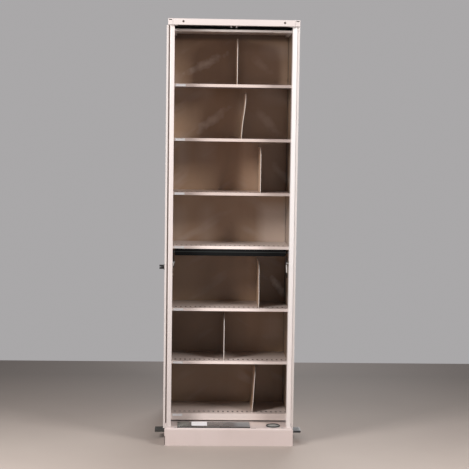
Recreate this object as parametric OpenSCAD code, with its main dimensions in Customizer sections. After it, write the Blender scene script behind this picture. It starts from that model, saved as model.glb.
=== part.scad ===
// Two sided rotating file cabinet: a shelved rotor that turns in a four post housing.
// X runs across the open end, Y along the cabinet, Z up. The origin is on the floor at the middle.

/* [Housing] */
// Width of the housing across its open end
housing_w = 650; // [620:5:700]
// Length of the housing from open end to open end
housing_l = 926; // [920:2:1000]
// Height of the base
base_h = 90; // [80:1:110]
// Height of the top frame
cap_h = 30; // [24:1:40]
// Width of the flange on top of a base member
base_flange = 60; // [50:1:70]
// Radius of the rounded upper edge of the base
base_round = 10; // [4:1:14]
// Thickness of the housing's sheet steel
sheet = 2; // [1.5:0.1:3]

/* [Rotor] */
// Height of one tier
tier_pitch = 274; // [250:1:300]
// Extra height of the tier that holds the lock bar
lock_tier_extra = 46; // [40:1:60]
// Depth of the rotor over both shelf fronts
rotor_l = 622; // [600:2:630]
// Width between the rotor's side walls
rotor_w = 604; // [590:2:606]
// Thickness of the rotor's sheet steel
rotor_sheet = 1.5; // [1:0.1:2]
// Height of a shelf's front lip
lip_h = 15; // [10:1:20]
// Height of the bottom pan's skirt
skirt_h = 34; // [32:1:40]
// Height of the top pan's front band
band_h = 11; // [8:1:16]
// Thickness of the double back panel
back_w = 19; // [15:1:24]

/* [Closing panels] */
// Width of a closing panel
panel_w = 650; // [630:2:650]
// Distance of a closing panel's outer face from the middle
panel_out = 334; // [330:1:336]
// Depth of a closing panel's edge
panel_edge = 12; // [8:1:14]

/* [Posts] */
// Distance of a post's inner face from the middle
post_in = 293; // [288:1:294]
// Width of a post's end face
post_w = 22; // [18:1:24]
// Depth of a post's inner face
post_d = 53; // [45:1:54]
// Setback of a post's end face behind the base
post_setback = 28; // [24:1:32]
// Width of a post's jamb edge
jamb_w = 10; // [8:1:10]
// Depth of a post's jamb, which stands beside the closing panel
jamb_d = 8; // [6:1:12]
// Bend radius of a post's outer front corner
post_round = 5; // [3:0.5:8]

/* [Shelf slots] */
// Spacing of the divider slots
slot_pitch = 25; // [20:1:40]
// Width of a divider slot
slot_w = 6; // [4:0.5:8]
// Length of a divider slot
slot_l = 22; // [12:1:26]
// Number of divider slots to either side of the middle
slot_half_count = 11; // [6:1:11]
// Distance of the slot row behind the shelf front
slot_back = 50; // [40:1:80]

/* [Dividers] */
// Height of a file divider
divider_h = 236; // [150:1:236]
// Depth of a file divider
divider_d = 262; // [200:1:270]
// Thickness of a file divider
divider_t = 1.2; // [0.8:0.1:2]

/* [Lock] */
// Distance of the lock axis behind the shelf front
lock_back = 36; // [30:1:50]
// Height of the lock rod below the shelf above it
lock_rod_drop = 33; // [30:1:40]
// Height of the knob's axis below the lock rod
knob_drop = 80; // [70:1:90]
// Radius of the drive pin's circle
crank_r = 28; // [20:1:30]
// Radius from the lock rod to a latch's hook
latch_r = 125; // [122:1:130]
// Diameter of the lock rod and of the knob's spindle
lock_shaft_d = 12; // [10:1:14]
// Diameter of the knob
knob_d = 22; // [18:1:26]
// Length of the knob
knob_l = 27; // [22:1:30]

/* [Foot release] */
// Distance from the treadle shaft to the front edge of the rotor
shaft_back = 141; // [135:1:160]
// Height of the treadle shaft
shaft_z = 50; // [45:1:55]
// Diameter of the treadle shaft
shaft_d = 14; // [12:1:18]
// Distance from the treadle shaft to the plunger
lever_l = 100; // [90:1:110]
// Distance a pedal stands out from the base
pedal_out = 52; // [40:1:60]
// Length of a pedal plate
pedal_l = 76; // [60:1:90]
// Distance from the treadle shaft to a pedal's nearer edge
pedal_reach = 69; // [60:1:80]
// Diameter of the plunger
plunger_d = 16; // [12:1:20]

/* [Turntable] */
// Radius of the ring of balls
race_r = 100; // [80:1:120]
// Diameter of a ball
ball_d = 12; // [10:1:12]
// Number of balls
ball_count = 16; // [8:1:24]
// Diameter of the king pin
king_pin_d = 24; // [20:1:30]

/* [Clearances] */
// Radial clearance of a shaft in its bore
running = 0.05; // [0.02:0.01:0.1]
// Gap between moving pieces side by side
side_gap = 0.5; // [0.3:0.1:1]
// Height of the gap between the base and the rotor
rotor_gap = 8; // [7:0.5:12]
// Height of the gap between the rotor and the top frame
cap_gap = 8; // [6:0.5:12]
// Width of an open seam between two housing members
seam = 0.8; // [0.4:0.1:1.5]
// Radial clearance of the plunger in its strike
strike_gap = 0.4; // [0.3:0.05:0.6]
// Play of the plunger in its strike along the turn
strike_play = 2.2; // [2:0.1:3]
// Clearance of a latch's hook around its strike pin
hook_gap = 1.2; // [1:0.1:1.5]
// Clearance of a drive pin across its slot
pin_gap = 2.4; // [2.3:0.1:3]

/* [Hidden] */
$fn = 48;
paint = [0.83, 0.78, 0.74];
bright_paint = [0.9, 0.87, 0.83];
inner_paint = [0.46, 0.4, 0.37];
black_paint = [0.06, 0.06, 0.06];
dark_steel = [0.3, 0.3, 0.3];
zinc = [0.7, 0.7, 0.68];
label_white = [0.86, 0.85, 0.88];
half_w = housing_w / 2;
half_l = housing_l / 2;
rotor_half_w = rotor_w / 2;
rotor_half_l = rotor_l / 2;
back_half = back_w / 2;
upper_tiers = 4;
lower_tiers = 2;
rotor_bottom = base_h + rotor_gap;
pan_z = rotor_bottom + skirt_h;
lower_z = [for (i = [0:lower_tiers]) pan_z + i * tier_pitch];
lock_shelf_z = lower_z[lower_tiers] + tier_pitch + lock_tier_extra;
upper_z = [for (i = [0:upper_tiers - 1]) lock_shelf_z + i * tier_pitch];
all_z = concat(lower_z, upper_z);
shelf_count = len(all_z) - 1;
shelf_z = [for (i = [0:shelf_count]) all_z[shelf_count - i]];
rotor_top = shelf_z[0] + tier_pitch;
cap_z = rotor_top + cap_gap;
housing_h = cap_z + cap_h;
post_y = half_l - post_setback;
panel_reveal = 17;
jamb_back = panel_w / 2 + panel_reveal;
jamb_y = jamb_back + jamb_d;
band_fold = 14;
foot_flange = 35;
overlap = 1;

// Turntable levels
race_h = 9;
race_w = 20;
groove_depth = 3.5;
ball_play = 0.05;
lower_race_top = base_h + race_h;
ball_z = lower_race_top + ball_d / 2 + ball_play - groove_depth;
upper_race_bottom = ball_z + ball_d / 2 + ball_play - groove_depth;
hub_z = upper_race_bottom + race_h;
hub_h = 6;
frame_top = pan_z - rotor_sheet;
cage_h = 2;
cage_w = 16;

// Lock levels and swing
lock_y = -rotor_half_l + lock_back;
rod_z = lock_shelf_z - lock_rod_drop;
knob_z = rod_z - knob_drop;
pin_throw = crank_r * sin(45);
slot_angle = atan(pin_throw / (knob_drop - pin_throw));
latch_swing = 2 * slot_angle;
latch_end_angle = 69.4;
strike_y = latch_r * sin(latch_end_angle) - lock_y;
latch_rest_angle = latch_end_angle - latch_swing;
strike_z = rod_z - latch_r * cos(latch_end_angle);
drive_pin_d = 8;
strike_d = 8;
strike_l = 12;
strike_plate_t = 1.5;
latch_t = 4;
latch_x = post_in - strike_plate_t - side_gap;
crank_gap = 3;
crank_x = latch_x + crank_gap;
bar_end_gap = 4;
bar_end_x = latch_x - latch_t - bar_end_gap;
bar_h = 35;
bar_d = 50;

// Slot number and lean in degrees of each tier's divider, from the top tier down
divider_places = [[1, 0], [2, 5], [6, 0], [], [6, 0], [-1, 0], [5, 4]];

// Foot release levels
shaft_y = -rotor_half_l + shaft_back;
plunger_y = shaft_y - lever_l;
lever_t = 6;
collar_t = 3;
fork_gap = 11;
collar_step = 4;
collar_d = plunger_d + 2 * collar_step;
neck_d = 10;
plunger_rise = 13;
plunger_top = rotor_bottom + plunger_rise;
strike_block_gap = 2;
strike_block_z = rotor_bottom + strike_block_gap;
spring_foot_z = 10;
pedal_arm_t = 5;

// A round bar along X from x0 to x1
module bar_x(x0, x1, d) {
    translate([x0, 0, 0]) rotate([0, 90, 0]) cylinder(d = d, h = x1 - x0);
}

// A box from one corner to the other
module block(low, high) {
    translate(low) cube(high - low);
}

// Section of a base member: depth inward is X, height is Y
module base_section() {
    difference() {
        union() {
            square([base_flange, base_h - base_round]);
            translate([base_round, 0]) square([base_flange - base_round, base_h]);
            translate([base_round, base_h - base_round]) circle(base_round);
        }
        translate([sheet, sheet]) square([base_flange, base_h - sheet - base_round]);
        translate([base_round, sheet]) square([base_flange, base_h - 2 * sheet]);
        translate([base_round, base_h - base_round]) circle(base_round - sheet);
        translate([foot_flange, -overlap]) square([base_flange, sheet + 2 * overlap]);
    }
}

// A base member along X with its outer face at Y zero and mitred ends
module base_member(l) {
    intersection() {
        translate([-l / 2, 0, 0]) rotate([90, 0, 90]) linear_extrude(l) base_section();
        linear_extrude(base_h) polygon([
            [-l / 2 + seam / 2, 0], [l / 2 - seam / 2, 0],
            [l / 2 - base_flange - seam / 2, base_flange],
            [-l / 2 + base_flange + seam / 2, base_flange]
        ]);
    }
}

foot_inset = 58;
foot_plate_z = 20;
foot_plate_t = 3;
foot_stud_d = 10;
foot_stud_l = 50;

// An end member carries a corner plate for each levelling foot
module base_end() {
    corner = half_w - sheet - seam;
    plate = 95;
    cut = 38;
    base_member(housing_w);
    for (side = [-1, 1]) difference() {
        translate([0, 0, foot_plate_z]) linear_extrude(foot_plate_t) polygon([
            [side * corner, sheet], [side * (corner - plate), sheet], [side * (corner - plate), cut],
            [side * (corner - cut), plate], [side * corner, plate]
        ]);
        translate([side * (half_w - foot_inset), foot_inset, 0])
            cylinder(r = foot_stud_d / 2 + running, h = foot_stud_l);
    }
}

module base_end_near() {
    color(paint) translate([0, -half_l, 0]) base_end();
}

module base_end_far() {
    color(paint) translate([0, half_l, 0]) rotate([0, 0, 180]) base_end();
}

shaft_boss_wall = 7;
shaft_boss_d = shaft_d + 2 * shaft_boss_wall;
shaft_boss_l = 12;

// A side member has a bearing boss for the treadle shaft
module base_side(side) {
    color(paint) difference() {
        union() {
            translate([side * half_w, 0, 0]) rotate([0, 0, side * 90]) base_member(housing_l);
            translate([side * (half_w - shaft_boss_l), shaft_y, shaft_z])
                bar_x(min(0, side * shaft_boss_l), max(0, side * shaft_boss_l), shaft_boss_d);
        }
        translate([side * half_w, shaft_y, shaft_z])
            bar_x(-2 * shaft_boss_l, 2 * shaft_boss_l, shaft_d + 2 * running);
    }
}

// The deck fills the frame of flanges
module base_deck() {
    color(paint) difference() {
        block([-half_w + base_flange, -half_l + base_flange, base_h - sheet],
              [half_w - base_flange, half_l - base_flange, base_h]);
        translate([0, 0, base_h - 2 * sheet]) cylinder(r = king_pin_d / 2 + running, h = 3 * sheet);
        translate([0, plunger_y, base_h - 2 * sheet])
            cylinder(r = plunger_d / 2 + running, h = 3 * sheet);
    }
}

cross_w = 60;
cross_h = 40;
cross_room = 28;
cross_y = -shaft_y - cross_room - cross_w / 2;
frame_t = 3;

// Two channels carry the deck under the turntable
module cross_members() {
    inner = half_w - base_round;
    top = base_h - sheet;
    color(dark_steel) for (side = [-1, 1]) translate([0, side * cross_y, 0]) difference() {
        block([-inner, -cross_w / 2, top - cross_h], [inner, cross_w / 2, top]);
        block([-half_w, -cross_w / 2 + frame_t, top - cross_h - overlap],
              [half_w, cross_w / 2 - frame_t, top - frame_t]);
    }
}

// Levelling feet stand in the corner plates
module leveling_feet() {
    pad_d = 40;
    pad_top_d = 32;
    pad_h = 8;
    nut_d = 18;
    color(zinc) for (x = [-1, 1], y = [-1, 1])
        translate([x * (half_w - foot_inset), y * (half_l - foot_inset), 0]) {
            cylinder(d1 = pad_d, d2 = pad_top_d, h = pad_h);
            cylinder(d = foot_stud_d, h = foot_stud_l);
            translate([0, 0, pad_h - overlap])
                cylinder(d = nut_d, h = foot_plate_z - pad_h + overlap, $fn = 6);
        }
}

// Roll formed section of a post in the +X +Y corner, stepped out behind its side to a narrow jamb
module post_section() {
    face = post_in + post_w;
    jamb_in = panel_out - jamb_w;
    lip = 10;
    translate([post_in, post_y - post_d]) square([sheet, post_d]);
    translate([post_in, post_y - post_d]) square([lip, sheet]);
    translate([post_in, post_y - sheet]) square([post_w - post_round, sheet]);
    translate([face - post_round, post_y - post_round]) difference() {
        intersection() {
            circle(post_round);
            square(post_round);
        }
        circle(post_round - sheet);
    }
    translate([face - sheet, jamb_back]) square([sheet, post_y - post_round - jamb_back]);
    translate([face - sheet, jamb_back]) square([panel_out - face + sheet, sheet]);
    translate([jamb_in, jamb_back]) square([sheet, jamb_d]);
    translate([panel_out - sheet, jamb_back]) square([sheet, jamb_d]);
    translate([jamb_in, jamb_y - sheet]) square([jamb_w, sheet]);
}

// A post with its foot plate, head plate and small head gusset; its jamb laps over the base and top frame
module post(x, y) {
    plate_gap = 6;
    plate_l = post_d - plate_gap;
    gusset = 16;
    jamb_tail = 26;
    jamb_head = 7;
    color(bright_paint) scale([x, y, 1]) {
        translate([0, 0, base_h]) linear_extrude(cap_z - base_h) post_section();
        for (ends = [[base_h - jamb_tail, base_h + overlap], [cap_z - overlap, cap_z + jamb_head]])
            translate([0, 0, ends[0]]) linear_extrude(ends[1] - ends[0]) intersection() {
                post_section();
                translate([half_w, 0]) square([panel_out - half_w, post_y]);
            }
        for (z = [base_h, cap_z - sheet])
            block([post_in, post_y - plate_l, z],
                  [post_in + post_w - post_round, post_y - overlap, z + sheet]);
        translate([0, 0, cap_z - sheet]) linear_extrude(sheet) polygon([
            [post_in + sheet, post_y], [post_in - gusset, post_y], [post_in + sheet, post_y - 2 * gusset]
        ]);
    }
}

rail_w = 23;
rail_lip = 33;
gang_inset = 75;
gang_rise = 16;
gang_hole_d = 11;

// An end rail lies between the side rails and has the two joining holes
module top_rail_end(y) {
    l = half_w - rail_w - seam;
    color(bright_paint) scale([1, y, 1]) difference() {
        block([-l, half_l - rail_lip, cap_z], [l, half_l, housing_h]);
        block([-half_w, half_l - rail_lip - overlap, cap_z + sheet],
              [half_w, half_l - sheet, housing_h - sheet]);
        for (s = [-1, 1]) translate([s * (half_w - gang_inset), half_l, cap_z + gang_rise])
            rotate([90, 0, 0]) cylinder(d = gang_hole_d, h = 3 * sheet, center = true);
    }
}

// A side rail runs the whole length, closed at its ends, with a short slot in each end face
module top_rail_side(x) {
    end_slot_drop = 6;
    end_slot_z = housing_h - end_slot_drop;
    end_slot_h = 4;
    end_slot_l = 15;
    slot_from = half_w - rail_w + end_slot_h;
    color(bright_paint) scale([x, 1, 1]) difference() {
        block([half_w - rail_w, -half_l, cap_z], [half_w, half_l, housing_h]);
        block([half_w - rail_w - overlap, -half_l + sheet, cap_z + sheet],
              [half_w - sheet, half_l - sheet, housing_h - sheet]);
        block([slot_from, -housing_l, end_slot_z - end_slot_h / 2],
              [slot_from + end_slot_l, housing_l, end_slot_z + end_slot_h / 2]);
    }
}

// The lid lies inside the rails, just under their top flanges, with stiffening grooves
module top_panel() {
    lid_z = housing_h - 2 * sheet;
    x = half_w - sheet - side_gap;
    y = half_l - sheet - side_gap;
    groove_w = 16;
    groove_inset = 60;
    groove_x = x - groove_inset;
    groove_pitch = 110;
    color(bright_paint) difference() {
        block([-x, -y, lid_z], [x, y, lid_z + sheet]);
        for (s = [-3:3]) translate([0, s * groove_pitch, lid_z])
            block([-groove_x, -groove_w / 2, sheet / 2], [groove_x, groove_w / 2, sheet + overlap]);
    }
}

pivot_d = 16;
bush_wall = 10;
channel_w = 70;

// A channel between the side rails holds the upper pivot bush
module top_channel() {
    low = cap_z + sheet;
    high = housing_h - 2 * sheet;
    x = half_w - sheet;
    color(dark_steel) difference() {
        union() {
            difference() {
                block([-x, -channel_w / 2, low], [x, channel_w / 2, high]);
                block([-half_w, -channel_w / 2 + frame_t, low + frame_t],
                      [half_w, channel_w / 2 - frame_t, high + overlap]);
            }
            translate([0, 0, low]) cylinder(d = pivot_d + 2 * bush_wall, h = high - low);
        }
        translate([0, 0, low - overlap]) cylinder(r = pivot_d / 2 + running, h = cap_h);
    }
}

// Two short fingers hang from a bracket behind the near end rail
module top_guide_bracket() {
    finger_w = 6;
    finger_x = 10;
    finger_t = 3;
    finger_y = 24;
    finger_drop = 7.2;
    shelf_rise = 4;
    half = 26;
    d = 36;
    h = cap_h - 2 * sheet;
    color(bright_paint) translate([0, -half_l + rail_lip, cap_z]) {
        block([-half, 0, shelf_rise], [half, d, shelf_rise + sheet]);
        block([-half, 0, 0], [half, sheet, h]);
        for (s = [-1, 1]) translate([s * (finger_x + finger_w / 2), finger_y, 0])
            block([-finger_w / 2, 0, -finger_drop], [finger_w / 2, finger_t, shelf_rise + sheet]);
    }
}

// Low dark cover on the near part of the deck, folded down at its edges and open at its left end
module mechanism_cover() {
    cover_l = 368;
    cover_d = 118;
    cover_h = 5;
    cover_inset = 65;
    cover_back = 9;
    notch_l = 12;
    notch_w = 20;
    color(dark_steel) translate([-half_w + cover_inset, -half_l + cover_back, base_h]) difference() {
        cube([cover_l, cover_d, cover_h]);
        block([-overlap, frame_t, -overlap], [cover_l - frame_t, cover_d - frame_t, cover_h - sheet]);
        block([-overlap, cover_d - 2 * notch_w, 0], [notch_l, cover_d - notch_w, cover_h + overlap]);
    }
}

// Round plug in the near part of the deck
module deck_plug() {
    plug_r = 35.5;
    plug_inset = 98;
    plug_back = 57;
    rim_w = 7;
    rim_h = 2.5;
    dish_h = 1;
    color(zinc) translate([half_w - plug_inset, -half_l + plug_back, base_h]) rotate_extrude() {
        square([plug_r - rim_w, dish_h]);
        translate([plug_r - rim_w, 0]) square([rim_w - rim_h, rim_h]);
        translate([plug_r - rim_h, 0]) intersection() {
            circle(rim_h);
            square(rim_h);
        }
    }
}

// Fixed pin at the middle of the turntable
module king_pin() {
    tail = 30;
    head = 6;
    nut_h = 8;
    nut_wall = 10;
    low = base_h - sheet - tail;
    color(zinc) {
        translate([0, 0, low]) cylinder(d = king_pin_d, h = hub_z + hub_h + head - low);
        translate([0, 0, base_h - sheet - nut_h]) cylinder(d = king_pin_d + 2 * nut_wall, h = nut_h);
    }
}

// Ring with a ball groove in its upper face
module race() {
    rotate_extrude($fn = 96) difference() {
        translate([race_r - race_w / 2, 0]) square([race_w, race_h]);
        translate([race_r, race_h - groove_depth + ball_d / 2 + ball_play]) circle(ball_d / 2 + ball_play);
    }
}

module lower_race() {
    color(zinc) translate([0, 0, base_h]) race();
}

module upper_race() {
    color(zinc) translate([0, 0, hub_z]) mirror([0, 0, 1]) race();
}

// Flat ring that spaces the balls
module ball_cage() {
    color(zinc) translate([0, 0, ball_z - cage_h / 2]) difference() {
        cylinder(r = race_r + cage_w / 2, h = cage_h, $fn = 96);
        translate([0, 0, -overlap]) cylinder(r = race_r - cage_w / 2, h = cage_h + 2 * overlap, $fn = 96);
        for (i = [0:ball_count - 1]) rotate([0, 0, i * 360 / ball_count]) translate([race_r, 0, -overlap])
            cylinder(r = ball_d / 2 + running, h = cage_h + 2 * overlap);
    }
}

module bearing_balls() {
    color(zinc) for (i = [0:ball_count - 1]) rotate([0, 0, i * 360 / ball_count])
        translate([race_r, 0, ball_z]) sphere(d = ball_d, $fn = 24);
}

// Plates on the inner faces of the near posts, with the pins that the latches hook
module latch_strikes() {
    head_t = 1.5;
    head_wall = 2;
    plate_h = 24;
    edge = 8;
    plate_x = post_in - strike_plate_t;
    color(zinc) for (s = [-1, 1]) scale([s, 1, 1]) translate([0, -strike_y, strike_z]) {
        bar_x(post_in - strike_l, plate_x + overlap, strike_d);
        bar_x(post_in - strike_l, post_in - strike_l + head_t, strike_d + 2 * head_wall);
        block([plate_x, min(-edge, strike_y - post_y + edge), -plate_h / 2],
              [post_in, max(edge, strike_y - post_y + 2 * edge), plate_h / 2]);
    }
}

// Bracket under the deck that guides the plunger and seats its spring
module plunger_guide() {
    w = 60;
    d = 44;
    t = 4;
    boss_h = 10;
    color(dark_steel) translate([0, plunger_y, 0]) difference() {
        union() {
            block([-w / 2, -d / 2, spring_foot_z - t], [w / 2, d / 2, spring_foot_z]);
            for (s = [-1, 1]) scale([s, 1, 1])
                block([w / 2 - t, -d / 2, spring_foot_z - t], [w / 2, d / 2, base_h - sheet]);
            block([-w / 2, -d / 2, base_h - sheet - boss_h], [w / 2, d / 2, base_h - sheet]);
        }
        translate([0, 0, base_h / 2]) cylinder(r = plunger_d / 2 + running, h = base_h);
    }
}

spring_top = shaft_z - fork_gap / 2 - collar_t;
spring_turns = 6;
spring_r = 8.5;
wire_r = 1.2;

// Points of one ring of a coil's round wire at turn t
function coil_ring(t, sides) = [for (k = [0:sides - 1])
    let (a = 360 * k / sides, r = spring_r + wire_r * cos(a))
    [r * cos(360 * t), r * sin(360 * t), coil_z(t) + wire_r * sin(a)]];

// Height of the wire at turn t, with a flat turn at either end
function coil_z(t) = spring_foot_z + wire_r +
    (spring_top - spring_foot_z - 2 * wire_r) * min(1, max(0, (t - 0.5) / (spring_turns - 1)));

// Compression spring under the plunger
module plunger_spring() {
    sides = 6;
    steps = 12 * spring_turns;
    rings = [for (i = [0:steps]) coil_ring(spring_turns * i / steps, sides)];
    walls = [for (i = [0:steps - 1], k = [0:sides - 1], h = [0, 1])
        let (a = i * sides + k, b = i * sides + (k + 1) % sides)
        h == 0 ? [a, a + sides, b] : [b, a + sides, b + sides]];
    ends = concat(
        [[for (k = [0:sides - 1]) k]],
        [[for (k = [0:sides - 1]) steps * sides + sides - 1 - k]]);
    color(zinc) translate([0, plunger_y, 0])
        polyhedron([for (r = rings, p = r) p], concat(walls, ends));
}

// Row of divider slots across a shelf, cut downward from z
module slot_row(y, z) {
    for (i = [-slot_half_count:slot_half_count])
        block([i * slot_pitch - slot_w / 2, y - slot_l / 2, z - 2 * rotor_sheet],
              [i * slot_pitch + slot_w / 2, y + slot_l / 2, z + overlap]);
}

// Pan under the lowest tiers of both sides, with a deep skirt
module rotor_bottom_pan() {
    x = rotor_half_w;
    y = rotor_half_l;
    color(paint) difference() {
        block([-x, -y, rotor_bottom], [x, y, pan_z]);
        block([-x + rotor_sheet, -y + rotor_sheet, rotor_bottom - overlap],
              [x - rotor_sheet, y - rotor_sheet, pan_z - rotor_sheet]);
        for (s = [-1, 1]) slot_row(s * (y - slot_back), pan_z);
    }
}

// Pan over the top tiers, with a turned down edge
module rotor_top_pan() {
    x = rotor_half_w;
    y = rotor_half_l;
    color(paint) difference() {
        block([-x, -y, rotor_top - band_h], [x, y, rotor_top]);
        block([-x + rotor_sheet, -y + rotor_sheet, rotor_top - band_h + rotor_sheet],
              [x - rotor_sheet, y - rotor_sheet, rotor_top - rotor_sheet]);
        block([-x + band_fold, -y + band_fold, rotor_top - band_h - overlap],
              [x - band_fold, y - band_fold, rotor_top - band_h / 2]);
        translate([0, 0, rotor_top - band_h]) cylinder(d = pivot_d, h = 2 * band_h);
    }
}

// Hub plate with crossed channels that carries the bottom pan
module rotor_base_frame() {
    arm = 50;
    hub_rim = 3;
    reach = rotor_half_w - rotor_sheet;
    low = hub_z;
    color(dark_steel) difference() {
        union() {
            translate([0, 0, low]) cylinder(r = race_r + race_w, h = hub_h);
            block([-reach, -arm / 2, low], [reach, arm / 2, frame_top]);
            block([-arm / 2, -reach, low], [arm / 2, reach, frame_top]);
        }
        for (a = [0:90:270]) rotate([0, 0, a])
            block([race_r + race_w + hub_rim, -arm / 2 + frame_t, low - overlap],
                  [reach + overlap, arm / 2 - frame_t, frame_top - frame_t]);
        translate([0, 0, low - overlap]) cylinder(r = king_pin_d / 2 + running, h = 4 * hub_h);
    }
}

// Four strikes under the pan, one for each quarter turn
module index_strikes() {
    w = 42;
    d = 30;
    head_room = 3;
    stretch = strike_play - strike_gap;
    at = [0, plunger_y, strike_block_z];
    color(zinc) for (a = [0:90:270]) rotate([0, 0, a]) translate(at) difference() {
        block([-w / 2, -d / 2, 0], [w / 2, d / 2, frame_top - frame_t - strike_block_z]);
        translate([0, 0, -overlap]) linear_extrude(plunger_top - strike_block_z + head_room + overlap) {
            for (s = [-1, 1]) translate([s * stretch, 0]) circle(plunger_d / 2 + strike_gap);
            square([2 * stretch, plunger_d + 2 * strike_gap], center = true);
        }
    }
}

// Back panel of one side of the rotor, with a tongue that reaches up into the top pan
module back_panel(side) {
    tongue = rotor_half_w - band_fold - rotor_sheet;
    color(inner_paint) scale([1, side, 1]) {
        block([-rotor_half_w, back_half - rotor_sheet, pan_z],
              [rotor_half_w, back_half, rotor_top - band_h]);
        block([-tongue, back_half - rotor_sheet, rotor_top - band_h - overlap],
              [tongue, back_half, rotor_top - rotor_sheet]);
    }
}

// Channels between the two back panels
module rotor_uprights() {
    spacing = 200;
    w = 40;
    wall = 2;
    d = back_half - rotor_sheet;
    color(dark_steel) for (i = [-1:1]) translate([i * spacing, 0, 0]) difference() {
        block([-w / 2, -d, pan_z], [w / 2, d, rotor_top - band_h]);
        block([-w / 2 + wall, -d + wall, pan_z - overlap], [w / 2 + overlap, d - wall, rotor_top]);
    }
}

// Side wall of the rotor with bores for the lock
module side_wall(side) {
    color(inner_paint) difference() {
        scale([side, 1, 1]) block([rotor_half_w, -rotor_half_l, rotor_bottom],
                                  [rotor_half_w + rotor_sheet, rotor_half_l, rotor_top]);
        translate([side * rotor_half_w, lock_y, rod_z])
            bar_x(-panel_edge, panel_edge, lock_shaft_d + 2 * running);
        if (side < 0) translate([-rotor_half_w, lock_y, knob_z])
            bar_x(-panel_edge, panel_edge, lock_shaft_d + 2 * running);
    }
}

// Closing panel: a shallow pan outside the side wall, flanged back to it at top and bottom
module closing_panel(side) {
    y = panel_w / 2;
    inner = rotor_half_w + rotor_sheet;
    color(bright_paint) difference() {
        scale([side, 1, 1]) union() {
            difference() {
                block([panel_out - panel_edge, -y, rotor_bottom], [panel_out, y, rotor_top]);
                block([panel_out - panel_edge - overlap, -y + rotor_sheet, rotor_bottom - overlap],
                      [panel_out - rotor_sheet, y - rotor_sheet, rotor_top + overlap]);
            }
            for (z = [rotor_bottom, (rotor_bottom + rotor_top) / 2, rotor_top - rotor_sheet])
                block([inner, -rotor_half_l, z], [panel_out, rotor_half_l, z + rotor_sheet]);
        }
        if (side < 0) translate([-panel_out, lock_y, knob_z])
            bar_x(-panel_edge, panel_edge, lock_shaft_d + 2 * running);
    }
}

// A shelf on the near side with its top at z, flanged down all round
module shelf(z) {
    x = rotor_half_w;
    fold = 10;
    flange_less = 4;
    front = -rotor_half_l;
    flange = lip_h - flange_less;
    color(paint) difference() {
        union() {
            block([-x, front, z - rotor_sheet], [x, -back_half, z]);
            block([-x, front, z - lip_h], [x, front + rotor_sheet, z]);
            block([-x, front, z - lip_h], [x, front + fold, z - lip_h + rotor_sheet]);
            block([-x, -back_half - rotor_sheet, z - flange], [x, -back_half, z]);
            for (s = [-1, 1]) scale([s, 1, 1])
                block([x - rotor_sheet, front, z - flange], [x, -back_half, z]);
        }
        slot_row(front + slot_back, z);
    }
}

module far_shelves() {
    for (i = [0:shelf_count - 1]) scale([1, -1, 1]) shelf(shelf_z[i]);
}

// A divider plate that stands in a slot, with rounded front corner and hooked foot
module divider() {
    corner_r = 55;
    slot_room = 2;
    back_gap = 6;
    foot_l = slot_l - 2 * slot_room;
    back_y = -back_half - back_gap;
    front_y = back_y - divider_d;
    foot_y = -rotor_half_l + slot_back;
    rest = 0.1;
    foot_h = 5;
    rotate([90, 0, 90]) translate([0, rest, -divider_t / 2]) linear_extrude(divider_t) {
        translate([front_y, 0]) square([divider_d, divider_h - corner_r]);
        translate([front_y + corner_r, 0]) square([divider_d - corner_r, divider_h]);
        translate([front_y + corner_r, divider_h - corner_r]) circle(corner_r);
        translate([foot_y - foot_l / 2, -foot_h]) square([foot_l, foot_h + overlap]);
    }
}

module file_dividers() {
    color(bright_paint) for (i = [0:shelf_count]) if (len(divider_places[i]) > 0)
        translate([divider_places[i][0] * slot_pitch, 0, shelf_z[i]])
            rotate([0, divider_places[i][1], 0]) divider();
}

// Blank holders on the left end of each near shelf lip
module shelf_labels() {
    holder_w = 46;
    holder_h = 12;
    holder_t = 0.8;
    holder_inset = 5;
    edge = 1;
    color(label_white) for (i = [0:shelf_count])
        translate([-post_in + holder_inset, -rotor_half_l - holder_t, shelf_z[i] - lip_h + edge])
            cube([holder_w, holder_t, holder_h]);
}

// Black channel across the rotor that covers the lock rod
module lock_channel() {
    top = lock_shelf_z - lip_h;
    x = bar_end_x;
    t = 2;
    rib_h = 2;
    rib_d = 1;
    front = -rotor_half_l + rib_d;
    rib_z = top - bar_h / 2 + rib_h;
    color(black_paint) difference() {
        union() {
            difference() {
                block([-x, front, top - bar_h], [x, front + bar_d, top]);
                block([-x + t, front + t, top - bar_h - overlap], [x - t, front + bar_d - t, top - t]);
            }
            block([-x, front - rib_d, rib_z], [x, front, rib_z + rib_h]);
        }
        translate([0, lock_y, rod_z]) bar_x(-half_w, half_w, lock_shaft_d + 2 * running);
    }
}

// Pin on the top pan that turns in the bush above it
module top_pivot_pin() {
    collar_wall = 9;
    collar_h = 4;
    top_room = 6;
    low = rotor_top - band_h / 2;
    color(zinc) {
        translate([0, 0, low]) cylinder(d = pivot_d, h = housing_h - top_room - low);
        translate([0, 0, rotor_top]) cylinder(d = pivot_d + 2 * collar_wall, h = collar_h);
    }
}

// Round knob with a deep finger slot
module lock_knob() {
    foot_t = 4;
    foot_wall = 4;
    slot = 8;
    slot_d = 15;
    base_x = -panel_out - side_gap;
    end_x = base_x - knob_l;
    color(black_paint) translate([0, lock_y, knob_z]) difference() {
        union() {
            bar_x(base_x - foot_t, base_x, knob_d + 2 * foot_wall);
            bar_x(end_x, base_x, knob_d);
        }
        block([end_x - overlap, -knob_d, -slot / 2], [end_x + slot_d, knob_d, slot / 2]);
        bar_x(base_x - knob_l / 3, base_x + overlap, lock_shaft_d);
    }
}

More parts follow.
